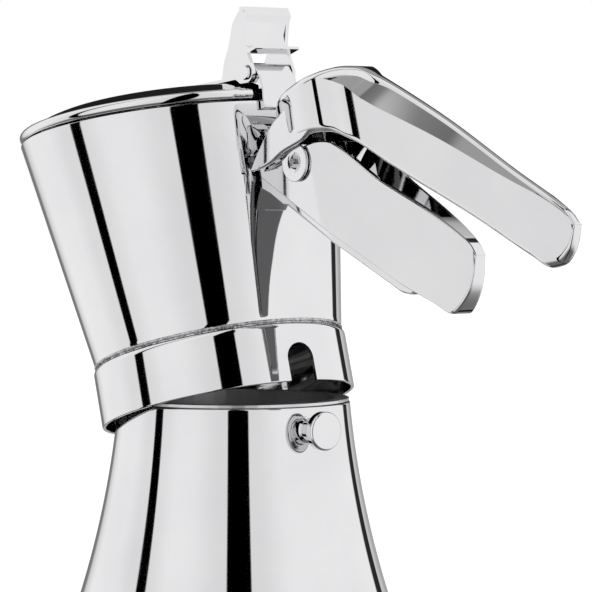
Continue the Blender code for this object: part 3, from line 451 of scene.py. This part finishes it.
class POT_OT_boiler(bpy.types.Operator):
    """Flared boiler with its rolled rim and the lock stud"""
    bl_idname = "pot.boiler"
    bl_label = "Boiler and lock stud"

    def execute(self, context):
        sizes = settings()[0]
        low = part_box("boiler_shell")[0][2]
        corner, wall, edge = BASE_CORNER, sizes.wall, RIM_ROUND
        corner_z = low + corner
        rows = 90
        top = sizes.rim_z - edge
        outer = [(boiler_radius(top + (corner_z - top) * i / rows), top + (corner_z - top) * i / rows)
                 for i in range(rows + 1)]
        corner_x = boiler_radius(corner_z) - corner
        turn = arc(corner_x, corner_z, corner, 0, -90, 16)[1:]
        inner = [(r - wall, z) for r, z in reversed(outer)]
        inner_turn = arc(corner_x, corner_z, corner - wall, -90, 0, 12)[:-1]
        rim = arc(sizes.rim_r - edge, top, edge, 170, 10, 8)
        profile = [(0, low + wall)] + inner_turn + inner + rim + outer + turn + [(0, low)]
        shell = solid("boiler_wall", turned(profile, sizes.rounds, closed=False))
        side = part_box("valve_body")
        centre = Vector([(a + b) / 2 for a, b in zip(*side)])
        out = Vector((centre.x, centre.y, 0)).normalized()
        hole = prism(40, VALVE_HOLE_R, -12 * MM, 12 * MM)
        place = Matrix.Translation(centre) @ Matrix.Rotation(atan2(out.y, out.x), 4, "Z")
        place = place @ Matrix.Rotation(radians(90) - VALVE_LEAN, 4, "Y")
        bmesh.ops.transform(hole, matrix=place, verts=hole.verts)
        combine(shell, hole)
        finish_piece(shell, "boiler", polished_steel(), ["boiler_shell"], collector=False)

        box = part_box("lock_stud")
        seat, face = box[0][0], box[1][0]
        z = (box[0][2] + box[1][2]) / 2
        neck, head = STUD_NECK_R, (box[1][2] - box[0][2]) / 2
        under = face - STUD_HEAD_T
        profile = [(0, seat), (neck + 0.5 * MM, seat), (neck, seat + 0.5 * MM)]
        profile += arc(neck + 0.6 * MM, under - 0.6 * MM, 0.6 * MM, 180, 90, 6)
        profile += arc(head - 0.6 * MM, under + 0.6 * MM, 0.6 * MM, -90, 0, 6)
        profile += arc(head - 0.9 * MM, face - 0.95 * MM, 0.9 * MM, 0, 84, 8) + [(0, face)]
        stud = solid("lock_stud_turned", turn_to(turned(profile, 96, closed=False), "X"))
        stud.data.transform(Matrix.Translation((0, 0, z)))
        finish_piece(stud, "boiler", polished_steel(), ["lock_stud"], collector=False)
        return {"FINISHED"}


class POT_OT_collar(bpy.types.Operator):
    """Locking collar with its notch, and the weld above it"""
    bl_idname = "pot.collar"
    bl_label = "Collar and weld"

    def execute(self, context):
        sizes = settings()[0]
        r, low = sizes.collar_r, -sizes.collar_h
        inner = r - COLLAR_WALL
        profile = [(inner - 0.6 * MM, -0.2 * MM), (sizes.seam_r - 0.6 * MM, -0.15 * MM)]
        profile += arc(r - 1.9 * MM, -2.5 * MM, 1.9 * MM, 68, 0, 14)
        profile += arc(r - 0.4 * MM, low + 0.4 * MM, 0.4 * MM, 0, -90, 5)
        profile += arc(inner + 0.3 * MM, low + 0.3 * MM, 0.3 * MM, -90, -180, 4)
        profile += [(inner, -1.8 * MM), (inner - 0.6 * MM, -1.2 * MM)]
        collar = solid("collar_ring", turned(profile, sizes.rounds))
        half = sizes.notch_w / 2
        outline = arc(0, NOTCH_TOP - half, half, 0, 180, 32)
        outline += [(-half, low - 5 * MM), (half, low - 5 * MM)]
        tool = plate(outline, -r - 5 * MM, -r + 12 * MM)
        bmesh.ops.rotate(tool, verts=tool.verts, cent=(0, 0, 0),
                         matrix=Matrix.Rotation(radians(90), 3, "Z"))
        combine(collar, tool)
        finish_piece(collar, "collector", polished_steel(), ["collar"])

        steps, around = 720, 10
        rings = []
        for i in range(steps):
            a = 2 * pi * i / steps
            wobble = (0.06 * MM * sin(53 * a) + 0.05 * MM * sin(131 * a + 1.3)
                      + 0.03 * MM * sin(211 * a + 0.4))
            lift = 0.05 * MM * sin(37 * a + 2.0)
            ring = []
            for k in range(around):
                b = 2 * pi * k / around
                rr = sizes.seam_r - 0.12 * MM + (BEAD_R + wobble * 0.5) * cos(b)
                ring.append((rr * cos(a), rr * sin(a), (BEAD_R + wobble) * sin(b) + lift))
            rings.append(ring)
        bead = solid("seam_weld", wrap(rings), 60.0)
        finish_piece(bead, "collector", weld_steel(), [])
        return {"FINISHED"}


class POT_OT_cone(bpy.types.Operator):
    """Flared collector with a slanted rim and a pouring lip"""
    bl_idname = "pot.cone"
    bl_label = "Cone"

    def execute(self, context):
        sizes = settings()[0]
        slope = (sizes.cone_r - sizes.seam_r) / sizes.cone_h
        slant = tan(sizes.slant)

        def point(azimuth, share, inset):
            lean = cos(azimuth)
            top = sizes.cone_h / (1 + slant * slope * lean) - slant * sizes.seam_r * lean
            z = 0.2 * MM + (top - 0.2 * MM) * share
            turn = (azimuth - pi) / LIP_WIDTH
            rise = max(0.0, (share - 0.7) / 0.3)
            lip = LIP_REACH * exp(-turn * turn) * rise * rise * (3 - 2 * rise)
            r = cone_radius(z) - inset + lip
            return (r * cos(azimuth), r * sin(azimuth), z)

        rows = 64
        round_over = [(0.9975, 0.04), (0.9995, 0.2), (1.0, 0.5), (0.9995, 0.8)]
        line = [(0.0, 0.25)] + [(0.004 + 0.992 * i / rows, 0.0) for i in range(rows + 1)] + round_over
        line += [(0.996 - 0.996 * i / rows, 1.0) for i in range(rows + 1)]
        count = sizes.rounds
        cone = solid("cone_wall", wrap([[point(2 * pi * i / count, s, w * sizes.wall) for s, w in line]
                                        for i in range(count)]), 50.0)
        finish_piece(cone, "collector", polished_steel(), ["cone_shell"])
        return {"FINISHED"}


# ---- lid -----------------------------------------------------------------------------------------
PIN = (46.0 * MM, 73.0 * MM)
KNUCKLE_HALF = 6.6 * MM
TAB_INSIDE = KNUCKLE_HALF + 0.3 * MM
TAB_OUTSIDE = TAB_INSIDE + 1.2 * MM
TAB_WEB = 0.6 * MM           # half the web's sheet
BRACKET_T = 1.6 * MM
PIN_HOLE_R = 1.8 * MM
LID_EDGE = 3.3 * MM          # height of the rolled edge
LID_DOME = 5.2 * MM
LID_SHEET = 0.9 * MM
LID_LIFT = 0.4 * MM          # above the cone's rim
LID_CROWN = in_mm([(0.0, 0.0), (14.0, 0.03), (27.3, 0.55), (37.3, 1.6), (41.8, 2.9), (44.8, 4.3)])


class POT_OT_lid(bpy.types.Operator):
    """Lid with a rolled edge, a quick shoulder and a nearly flat crown"""
    bl_idname = "pot.lid"
    bl_label = "Lid"

    def execute(self, context):
        sizes = settings()[0]
        e, r = LID_EDGE, sizes.lid_r
        roll = e / 2
        dome = []
        for i in range(61):
            radius = (r - 4.4 * MM) * (1 - (i / 60) ** 1.6)
            dome.append((radius, e + LID_DOME - through(LID_CROWN, radius)))
        outer = arc(r - roll, roll, roll, -70, 84, 18)
        fillet = [(r - 2.2 * MM, e + 0.02 * MM), (r - 3.3 * MM, e + 0.32 * MM)]
        under = [(x, z - LID_SHEET) for x, z in reversed(dome)]
        profile = under + [(r - 3.6 * MM, 1.0 * MM), (r - 2.6 * MM, 0.05 * MM)] + outer + fillet + dome
        bm = turned(profile, sizes.rounds, closed=False)
        for v in bm.verts:
            v.co.z += sizes.cone_h + LID_LIFT - tan(sizes.slant) * v.co.x
        lid = solid("lid_crown", bm)
        wide = TAB_OUTSIDE + 0.7 * MM
        x = PIN[0] - 4.0 * MM
        notch = [(x, 50 * MM), (60 * MM, 50 * MM), (60 * MM, 90 * MM), (x, 90 * MM)]
        combine(lid, plate(notch, -wide, wide))
        finish_piece(lid, "lid", polished_steel(), ["lid_shell"])
        return {"FINISHED"}


def lid_top(x):
    """Height at which the tab's foot rests over the lid's crown."""
    sizes = settings()[0]
    drop = max(0.0, x - (sizes.lid_r - 22 * MM)) * 0.12
    return sizes.cone_h - tan(sizes.slant) * x + LID_LIFT + LID_EDGE + LID_DOME - drop + 0.3 * MM


def from_pin(points):
    """Points in millimetres from the lid's pin."""
    return [(PIN[0] + x * MM, PIN[1] + z * MM) for x, z in points]


class POT_OT_tab(bpy.types.Operator):
    """Bent sheet thumb tab on the lid, and the hinge bracket on the rim"""
    bl_idname = "pot.tab"
    bl_label = "Thumb tab and hinge"

    def execute(self, context):
        px, pz = PIN
        flange = arc(px, pz, 3.1 * MM, -100, 20, 14)
        flange += from_pin([(2.2, 5.0), (1.7, 8.5), (3.4, 12.6), (4.8, 15.6), (3.6, 18.2), (1.2, 18.3),
                            (-2.4, 15.8), (-6.2, 9.6), (-9.6, 5.8)])
        flange += [(x, lid_top(x)) for x in (px - 12 * MM, px - 5.4 * MM)] + from_pin([(-3.6, -2.4)])
        tab = solid("thumb_tab", plate(flange, -TAB_OUTSIDE, -TAB_INSIDE))
        combine(tab, plate(flange, TAB_INSIDE, TAB_OUTSIDE), "UNION")
        middle = in_mm([(1.5, 5.6), (1.2, 8.6), (1.7, 11.2), (3.4, 14.2), (4.9, 16.2), (4.4, 18.3),
                        (2.0, 18.9)])
        out, back = [], []
        for i, (x, z) in enumerate(middle):
            a = middle[max(i - 1, 0)]
            b = middle[min(i + 1, len(middle) - 1)]
            run = Vector((b[0] - a[0], b[1] - a[1])).normalized()
            out.append((px + x + run.y * TAB_WEB, pz + z - run.x * TAB_WEB))
            back.append((px + x - run.y * TAB_WEB, pz + z + run.x * TAB_WEB))
        web = out + list(reversed(back))
        combine(tab, plate(web, -TAB_OUTSIDE, TAB_OUTSIDE), "UNION")
        skirt = from_pin([(0.8, 5.6), (2.6, 5.2), (6.6, 5.4), (6.5, 6.2), (3.2, 6.4), (1.9, 7.6)])
        combine(tab, plate(skirt, -TAB_OUTSIDE, TAB_OUTSIDE), "UNION")
        x0, x1 = px - 6.0 * MM, 18 * MM
        foot = [(x0, lid_top(x0)), (x0, lid_top(x0) + 0.9 * MM),
                (x1 + 3 * MM, lid_top(x1 + 3 * MM) + 0.8 * MM), (x1, lid_top(x1) + 0.35 * MM),
                (x1, lid_top(x1))]
        combine(tab, plate(foot, -TAB_OUTSIDE, TAB_OUTSIDE), "UNION")
        bore(tab, PIN_HOLE_R, 14 * MM, PIN)
        soften(tab, 0.35 * MM, 3)
        finish_piece(tab, "lid", polished_steel(), ["lid_tab"])

        low, high = 61.0 * MM, 66.5 * MM
        inside_low, inside_high = cone_radius(low) + 0.3 * MM, cone_radius(high) + 0.3 * MM
        outline = [(inside_low, low), (inside_low + BRACKET_T, low), (inside_high + BRACKET_T, high),
                   (inside_high + BRACKET_T, high + 3.4 * MM)]
        outline += arc(px, pz, 2.8 * MM, 15, 250, 28) + [(inside_high - 0.2 * MM, high + 1.6 * MM)]
        bracket = solid("hinge_bracket", plate(outline, -KNUCKLE_HALF, KNUCKLE_HALF))
        bore(bracket, PIN_HOLE_R, 14 * MM, PIN)
        soften(bracket, 0.3 * MM, 3)
        finish_piece(bracket, "collector", polished_steel(), ["lid_hinge_bracket"])
        return {"FINISHED"}


# ---- handle --------------------------------------------------------------------------------------
PIVOT = (64.2 * MM, 40.3 * MM)
SCREW_R = 5.7 * MM
SHANK_R = 2.5 * MM
HANDLE_ROOT_HW = 9.9         # half widths of the lower handle, in millimetres
HANDLE_TAPER = 8.1
TROUGH_START_X, TROUGH_END_X = 78 * MM, 112 * MM
TROUGH_WALL = 1.4 * MM
TROUGH_FLOOR = 4 * MM
SLOT_HALF = 5.6 * MM
SPINE_END_X = 96.7 * MM
LEVER_WALL = 2.2 * MM
CHEEK_INSIDE, CHEEK_OUTSIDE = 11.5 * MM, 13.4 * MM
HANDLE_TIP_X = 122.8 * MM
LEVER_TIP_X = 162.0 * MM
HANDLE_TOP = in_mm([(46, 44), (72, 44), (76.6, 43.0), (93.7, 26.9), (110.1, 12.6), (117.6, 5.2),
                    (121.6, 0.2), (122.8, -2.8)])
HANDLE_LOW = in_mm([(46, 41.0), (47.9, 39.3), (88.0, 2.4), (95.0, -4.1), (104.5, -11.5), (111.1, -16.4),
                    (113.2, -15.6), (117.8, -12.2), (120.8, -8.0), (122.8, -2.8)])
LEVER_TOP = in_mm([(56.0, 53.2), (57.5, 56.6), (61, 59.6), (68, 61.3), (76, 62.3), (84, 62.7), (89.5, 61.4),
                   (95, 57.2), (102.6, 51.2), (120.1, 36.5), (142.2, 15.9), (156.8, 2.7), (160.0, -0.8),
                   (162.0, -4.7)])
LEVER_LOW = in_mm([(56.0, 48.0), (58, 46.6), (66, 46.0), (76, 45.4), (83, 43.6), (89, 39.4), (99, 30.4),
                   (128.5, 5.6), (144.6, -9.0), (150.4, -13.6), (153.8, -13.8), (157.9, -11.7), (160.6, -8.1),
                   (162.0, -4.7)])
LEVER_WIDTH = in_mm([(56.0, 5.0), (57.5, 8.4), (61, 11.6), (67, 13.4), (74, 13.9), (80, 13.5), (86, 11.8),
                     (91, 10.0), (96, 9.1), (102, 8.5), (162.0, 1.4)])
LEVER_RIDGE = in_mm([(56.0, 5.0), (57.5, 8.4), (61, 11.6), (67, 13.3), (74, 13.3), (80, 11.6), (86, 7.6),
                     (91, 4.2), (96, 2.3), (102, 1.7), (162.0, 1.2)])
CHEEK_LOW = in_mm([(46.7, 42.4), (50.5, 42.0), (55.2, 42.3), (63, 44.0), (71.2, 44.6), (76, 46.4), (77, 48)])
CHEEK_TOP = in_mm([(46.7, 42.9), (49.2, 45.3), (55, 49.8), (61.5, 53.8), (68, 55.6), (74, 54), (77, 50)])


def handle_half_width(x):
    start = PIVOT[0] + SCREW_R + 0.3 * MM
    share = min(max((x - start) / (HANDLE_TIP_X - start), 0.0), 1.0)
    return (HANDLE_ROOT_HW - HANDLE_TAPER * share) * MM


def stations(start, end, count):
    return [start + (end - start) * (0.5 - 0.5 * cos(pi * i / count)) for i in range(count + 1)]


class POT_OT_handle(bpy.types.Operator):
    """Fixed lower handle and the rib it stands on"""
    bl_idname = "pot.handle"
    bl_label = "Lower handle"

    def execute(self, context):
        rings = []
        for x in stations(47.0 * MM, HANDLE_TIP_X, 120):
            w = handle_half_width(x)
            rings.append(section(x, -w, w, through(HANDLE_LOW, x), through(HANDLE_TOP, x),
                                 0.8 * MM, 0.5 * MM, 6))
        handle = solid("grip_lower", loft(rings), 40.0)
        rings = []
        for x in stations(TROUGH_START_X, TROUGH_END_X, 30):
            w = handle_half_width(x) - TROUGH_WALL
            rings.append(section(x, -w, w, through(HANDLE_LOW, x) + TROUGH_FLOOR,
                                 through(HANDLE_TOP, x) + TROUGH_FLOOR, 0.8 * MM, 0.8 * MM, 4))
        combine(handle, loft(rings))
        root = 7.9 * MM
        mouth = [(40 * MM, 0), (56.4 * MM, 0), (56.4 * MM, 60 * MM), (40 * MM, 60 * MM)]
        combine(handle, plate(mouth, -root, root))
        x0, x1, z0 = 55 * MM, PIVOT[0] + 8 * MM, PIVOT[1] - 7 * MM
        slot = [(x0, z0), (x1, z0), (x1, 60 * MM), (x0, 60 * MM)]
        combine(handle, plate(slot, -SLOT_HALF, SLOT_HALF))
        bore(handle, 2.8 * MM, 20 * MM, PIVOT)
        finish_piece(handle, "collector", polished_steel(), ["lower_handle"])

        rings = []
        for x in stations(52.0 * MM, 96.6 * MM, 60):
            w = handle_half_width(x) - 2.3 * MM
            fade = min(1.0, sqrt(max(0.0, (SPINE_END_X - x) / (5 * MM))))
            base = through(HANDLE_LOW, x)
            rings.append(section(x, -w, w, base - (0.6 + 3.8 * fade) * MM, base - 0.5 * MM,
                                 1.6 * MM, 0.2 * MM, 8))
        spine = solid("grip_rib", loft(rings), 40.0)
        root = 7.6 * MM
        block = [(38 * MM, 43.5 * MM), (56 * MM, 43.5 * MM),
                 (56 * MM, through(HANDLE_LOW, 56 * MM) - 2 * MM),
                 (52 * MM, through(HANDLE_LOW, 52 * MM) - 4.3 * MM),
                 (47 * MM, 35.9 * MM), (38 * MM, 42.3 * MM)]
        combine(spine, plate(block, -root, root), "UNION")
        low, high = -10 * MM, 80 * MM
        gap = 0.3 * MM
        wall = [(0, low), (cone_radius(low) + gap, low), (cone_radius(high) + gap, high), (0, high)]
        combine(spine, turned(wall, 160, closed=False))
        finish_piece(spine, "collector", polished_steel(), ["handle_spine"])
        return {"FINISHED"}


class POT_OT_lever(bpy.types.Operator):
    """Upper lever: a hollow tapering shell with a bulging root and two cheeks"""
    bl_idname = "pot.lever"
    bl_label = "Upper lever"

    def execute(self, context):
        rings = []
        for x in stations(56.0 * MM, LEVER_TIP_X, 150):
            w = through(LEVER_WIDTH, x)
            rings.append(section(x, -w, w, through(LEVER_LOW, x), through(LEVER_TOP, x),
                                 2.6 * MM, 2.8 * MM, 9, through(LEVER_RIDGE, x)))
        lever = solid("grip_lever", loft(rings), 40.0)
        for side in (-1, 1):
            rings = []
            for x in stations(46.7 * MM, 77.0 * MM, 60):
                y0, y1 = sorted((side * CHEEK_INSIDE, side * CHEEK_OUTSIDE))
                rings.append(section(x, y0, y1, through(CHEEK_LOW, x), through(CHEEK_TOP, x),
                                     0.7 * MM, 0.7 * MM, 5))
            combine(lever, loft(rings), "UNION")
        rings = []
        for x in stations(62.0 * MM, 136.0 * MM, 60):
            w = through(LEVER_WIDTH, x) - LEVER_WALL
            ridge = max(through(LEVER_RIDGE, x) - LEVER_WALL, 0.5 * MM)
            rings.append(section(x, -w, w, through(LEVER_LOW, x) - 6 * MM,
                                 through(LEVER_TOP, x) - 2.8 * MM, 1.0 * MM, 1.6 * MM, 4, ridge))
        combine(lever, loft(rings))
        finish_piece(lever, "lever", polished_steel(), ["upper_lever"])
        return {"FINISHED"}


class POT_OT_pivot(bpy.types.Operator):
    """Socket-head screw that the lever turns on"""
    bl_idname = "pot.pivot"
    bl_label = "Pivot screw"

    def execute(self, context):
        under, face = 10.2 * MM, 11.1 * MM
        profile = [(0, -under), (SHANK_R, -under), (SHANK_R, under), (SCREW_R - 0.15 * MM, under)]
        profile += arc(SCREW_R - 0.35 * MM, face - 0.35 * MM, 0.35 * MM, 0, 90, 6)
        profile += [(3.1 * MM, face), (2.9 * MM, face - 0.12 * MM), (0, face - 0.12 * MM)]
        screw = solid("pivot_screw_turned", turn_to(turned(profile, 96, closed=False), "Y"))
        combine(screw, turn_to(prism(6, 2.3 * MM, face - 3.4 * MM, face + 2 * MM), "Y"))
        soften(screw, 0.08 * MM, 2)
        screw.data.transform(Matrix.Translation((PIVOT[0], 0, PIVOT[1])))
        finish_piece(screw, "collector", polished_steel(), ["pivot_screw"])
        return {"FINISHED"}


class POT_OT_fittings(bpy.types.Operator):
    """Finishes for the pieces that keep their working shape"""
    bl_idname = "pot.fittings"
    bl_label = "Inner pieces and fittings"

    def execute(self, context):
        finish = settings()[1]
        brass = tuple(finish.brass)
        alu = tuple(finish.aluminium)
        finishes = {
            "polished_steel": polished_steel(),
            "brushed_steel": metal("disc_brushed", (0.66, 0.66, 0.67), (0.58, 0.58, 0.6), 0.22, 0.42,
                                   0.01 * MM, 500.0, (1, 1, 6)),
            "spring_steel": metal("spring_drawn", (0.5, 0.5, 0.52), (0.42, 0.42, 0.45), 0.18, 0.34,
                                  0.004 * MM),
            "aluminium": metal("funnel_aluminium", alu, tuple(c * 0.9 for c in alu), 0.24, 0.42,
                               0.008 * MM),
            "brass": metal("valve_brass", brass, tuple(c * 0.86 for c in brass), 0.16, 0.34, 0.006 * MM),
            "seal_rubber": silicone(),
        }
        slots = {entry["node"]: entry["material_slot"] for entry in frame["record"]["subparts"]}
        for name, obj in frame["nodes"].items():
            obj.data.materials.clear()
            obj.data.materials.append(finishes[slots[name]])
        return {"FINISHED"}


# ---- stage ---------------------------------------------------------------------------------------
# Bearing from the camera, half width (both in degrees), darkness and softness of each upright card.
CARDS = ((5.0, 10.0, 1.0, 0.6), (-77.0, 4.6, 1.0, 0.6), (143.0, 5.5, 0.97, 1.2), (-160.0, 7.0, 0.55, 3.0),
         (180.0, 30.0, 0.6, 16.0), (-180.0, 30.0, 0.6, 16.0), (5.0, 30.0, 0.14, 16.0),
         (-80.0, 18.0, 0.1, 10.0))
FAR_PATCH = radians(22)      # how high the round dark patch beyond the pot stands


def studio_world(stage):
    """White tent with upright black cards, a round dark patch beyond the pot and a dark ground."""
    world = bpy.data.worlds.new("studio_tent")
    bpy.context.scene.world = world
    world.use_nodes = True
    tree = world.node_tree
    tree.nodes.clear()

    def new(kind, **values):
        node = tree.nodes.new(kind)
        for key, value in values.items():
            setattr(node, key, value)
        return node

    def math(operation, a, b=None):
        node = new("ShaderNodeMath", operation=operation)
        for i, value in enumerate((a, b)):
            if value is None:
                continue
            if isinstance(value, (int, float)):
                node.inputs[i].default_value = value
            else:
                tree.links.new(value, node.inputs[i])
        return node.outputs["Value"]

    def ramp(value, low, high, start, end):
        node = new("ShaderNodeMapRange", interpolation_type="SMOOTHSTEP")
        tree.links.new(value, node.inputs["Value"])
        for key, number in (("From Min", low), ("From Max", high), ("To Min", start), ("To Max", end)):
            node.inputs[key].default_value = number
        return node.outputs["Result"]

    facing = stage.azimuth - pi / 2
    toward = Vector((cos(facing), sin(facing), 0))
    side = Vector((cos(facing + pi / 2), sin(facing + pi / 2), 0))
    split = new("ShaderNodeSeparateXYZ")
    tree.links.new(new("ShaderNodeTexCoord").outputs["Generated"], split.inputs[0])
    x, y, z = (split.outputs[key] for key in "XYZ")
    ahead = math("ADD", math("MULTIPLY", x, toward.x), math("MULTIPLY", y, toward.y))
    across = math("ADD", math("MULTIPLY", x, side.x), math("MULTIPLY", y, side.y))
    bearing = math("ARCTAN2", across, ahead)
    level = None
    for centre, half, depth, soft in CARDS:
        off = math("ABSOLUTE", math("SUBTRACT", bearing, radians(centre)))
        step = ramp(off, radians(half - soft), radians(half + soft), 1.0 - depth, 1.0)
        level = math("MULTIPLY", level, step) if level else step
    far = math("ADD", math("MULTIPLY", ahead, -cos(FAR_PATCH)), math("MULTIPLY", z, sin(FAR_PATCH)))
    level = math("MULTIPLY", level, ramp(z, -0.78, -0.42, 0.16, 1.0))
    level = math("MULTIPLY", level, ramp(far, 0.90, 0.93, 1.0, 0.04))
    strength = math("MULTIPLY", level, stage.tent)
    tent = new("ShaderNodeBackground")
    tree.links.new(strength, tent.inputs["Strength"])
    plain = new("ShaderNodeBackground")
    plain.inputs["Color"].default_value = (1, 1, 1, 1)
    tent.inputs["Color"].default_value = (1, 1, 1, 1)
    path = new("ShaderNodeLightPath")
    mix = new("ShaderNodeMixShader")
    tree.links.new(path.outputs["Is Camera Ray"], mix.inputs[0])
    tree.links.new(tent.outputs[0], mix.inputs[1])
    tree.links.new(plain.outputs[0], mix.inputs[2])
    tree.links.new(mix.outputs[0], new("ShaderNodeOutputWorld").inputs["Surface"])


def floor_material():
    """White floor that keeps shadows; polished metal sees the tent's cards down through it."""
    mat = bpy.data.materials.new("white_floor")
    mat.use_nodes = True
    tree = mat.node_tree
    tree.nodes.clear()
    diffuse = tree.nodes.new("ShaderNodeBsdfDiffuse")
    diffuse.inputs["Color"].default_value = (0.5, 0.5, 0.5, 1)
    glow = tree.nodes.new("ShaderNodeEmission")
    glow.inputs["Strength"].default_value = 0.8
    both = tree.nodes.new("ShaderNodeAddShader")
    tree.links.new(diffuse.outputs[0], both.inputs[0])
    tree.links.new(glow.outputs[0], both.inputs[1])
    clear = tree.nodes.new("ShaderNodeBsdfTransparent")
    plain = tree.nodes.new("ShaderNodeBsdfDiffuse")
    plain.inputs["Color"].default_value = (0.8, 0.8, 0.8, 1)
    path = tree.nodes.new("ShaderNodeLightPath")
    seen = tree.nodes.new("ShaderNodeMixShader")
    tree.links.new(path.outputs["Is Camera Ray"], seen.inputs[0])
    tree.links.new(plain.outputs[0], seen.inputs[1])
    tree.links.new(both.outputs[0], seen.inputs[2])
    mirrored = tree.nodes.new("ShaderNodeMixShader")
    tree.links.new(path.outputs["Is Glossy Ray"], mirrored.inputs[0])
    tree.links.new(seen.outputs[0], mirrored.inputs[1])
    tree.links.new(clear.outputs[0], mirrored.inputs[2])
    tree.links.new(mirrored.outputs[0], tree.nodes.new("ShaderNodeOutputMaterial").inputs["Surface"])
    return mat


class POT_OT_stage(bpy.types.Operator):
    """Floor, tent and camera"""
    bl_idname = "pot.stage"
    bl_label = "Stage"

    def execute(self, context):
        stage = settings()[2]
        scene = context.scene
        scene.view_settings.view_transform = "Standard"
        studio_world(stage)
        bm = bmesh.new()
        bmesh.ops.create_circle(bm, cap_ends=True, segments=96, radius=6.0)
        floor = solid("floor", bm)
        floor.data.materials.append(floor_material())
        az, el = stage.azimuth, stage.elevation
        back = Vector((sin(az) * cos(el), -cos(az) * cos(el), sin(el)))
        right = Vector((cos(az), sin(az), 0))
        aim = right * stage.aim_side + Vector((0, 0, stage.aim_height))
        data = bpy.data.cameras.new("camera")
        data.lens = stage.lens
        data.sensor_width = 36.0
        data.clip_start = 0.01
        camera = bpy.data.objects.new("camera", data)
        scene.collection.objects.link(camera)
        camera.location = aim + back * stage.distance
        camera.rotation_euler = back.to_track_quat("Z", "Y").to_euler()
        scene.camera = camera
        return {"FINISHED"}


class POT_PT_panel(bpy.types.Panel):
    """Sizes, finishes and steps of the coffee maker"""
    bl_idname = "POT_PT_panel"
    bl_label = "Coffee maker"
    bl_space_type = "VIEW_3D"
    bl_region_type = "UI"
    bl_category = "Coffee maker"

    def draw(self, context):
        layout = self.layout
        for group in settings():
            box = layout.box()
            for key in group.__annotations__:
                box.prop(group, key)
        for operator in OPERATORS:
            layout.operator(operator.bl_idname)


GROUPS = (PotSizes, PotFinish, PotStage)
OPERATORS = (POT_OT_stage, POT_OT_fittings, POT_OT_boiler, POT_OT_collar, POT_OT_cone, POT_OT_lid,
             POT_OT_tab, POT_OT_handle, POT_OT_lever, POT_OT_pivot)
CLASSES = GROUPS + OPERATORS + (POT_PT_panel,)


def register():
    for cls in CLASSES:
        bpy.utils.register_class(cls)
    bpy.types.Scene.pot_sizes = PointerProperty(type=PotSizes)
    bpy.types.Scene.pot_finish = PointerProperty(type=PotFinish)
    bpy.types.Scene.pot_stage = PointerProperty(type=PotStage)


def unregister():
    for name in ("pot_sizes", "pot_finish", "pot_stage"):
        delattr(bpy.types.Scene, name)
    for cls in reversed(CLASSES):
        bpy.utils.unregister_class(cls)


def main():
    register()
    for operator in OPERATORS:
        group, name = operator.bl_idname.split(".")
        getattr(getattr(bpy.ops, group), name)()


if __name__ == "__main__":
    main()
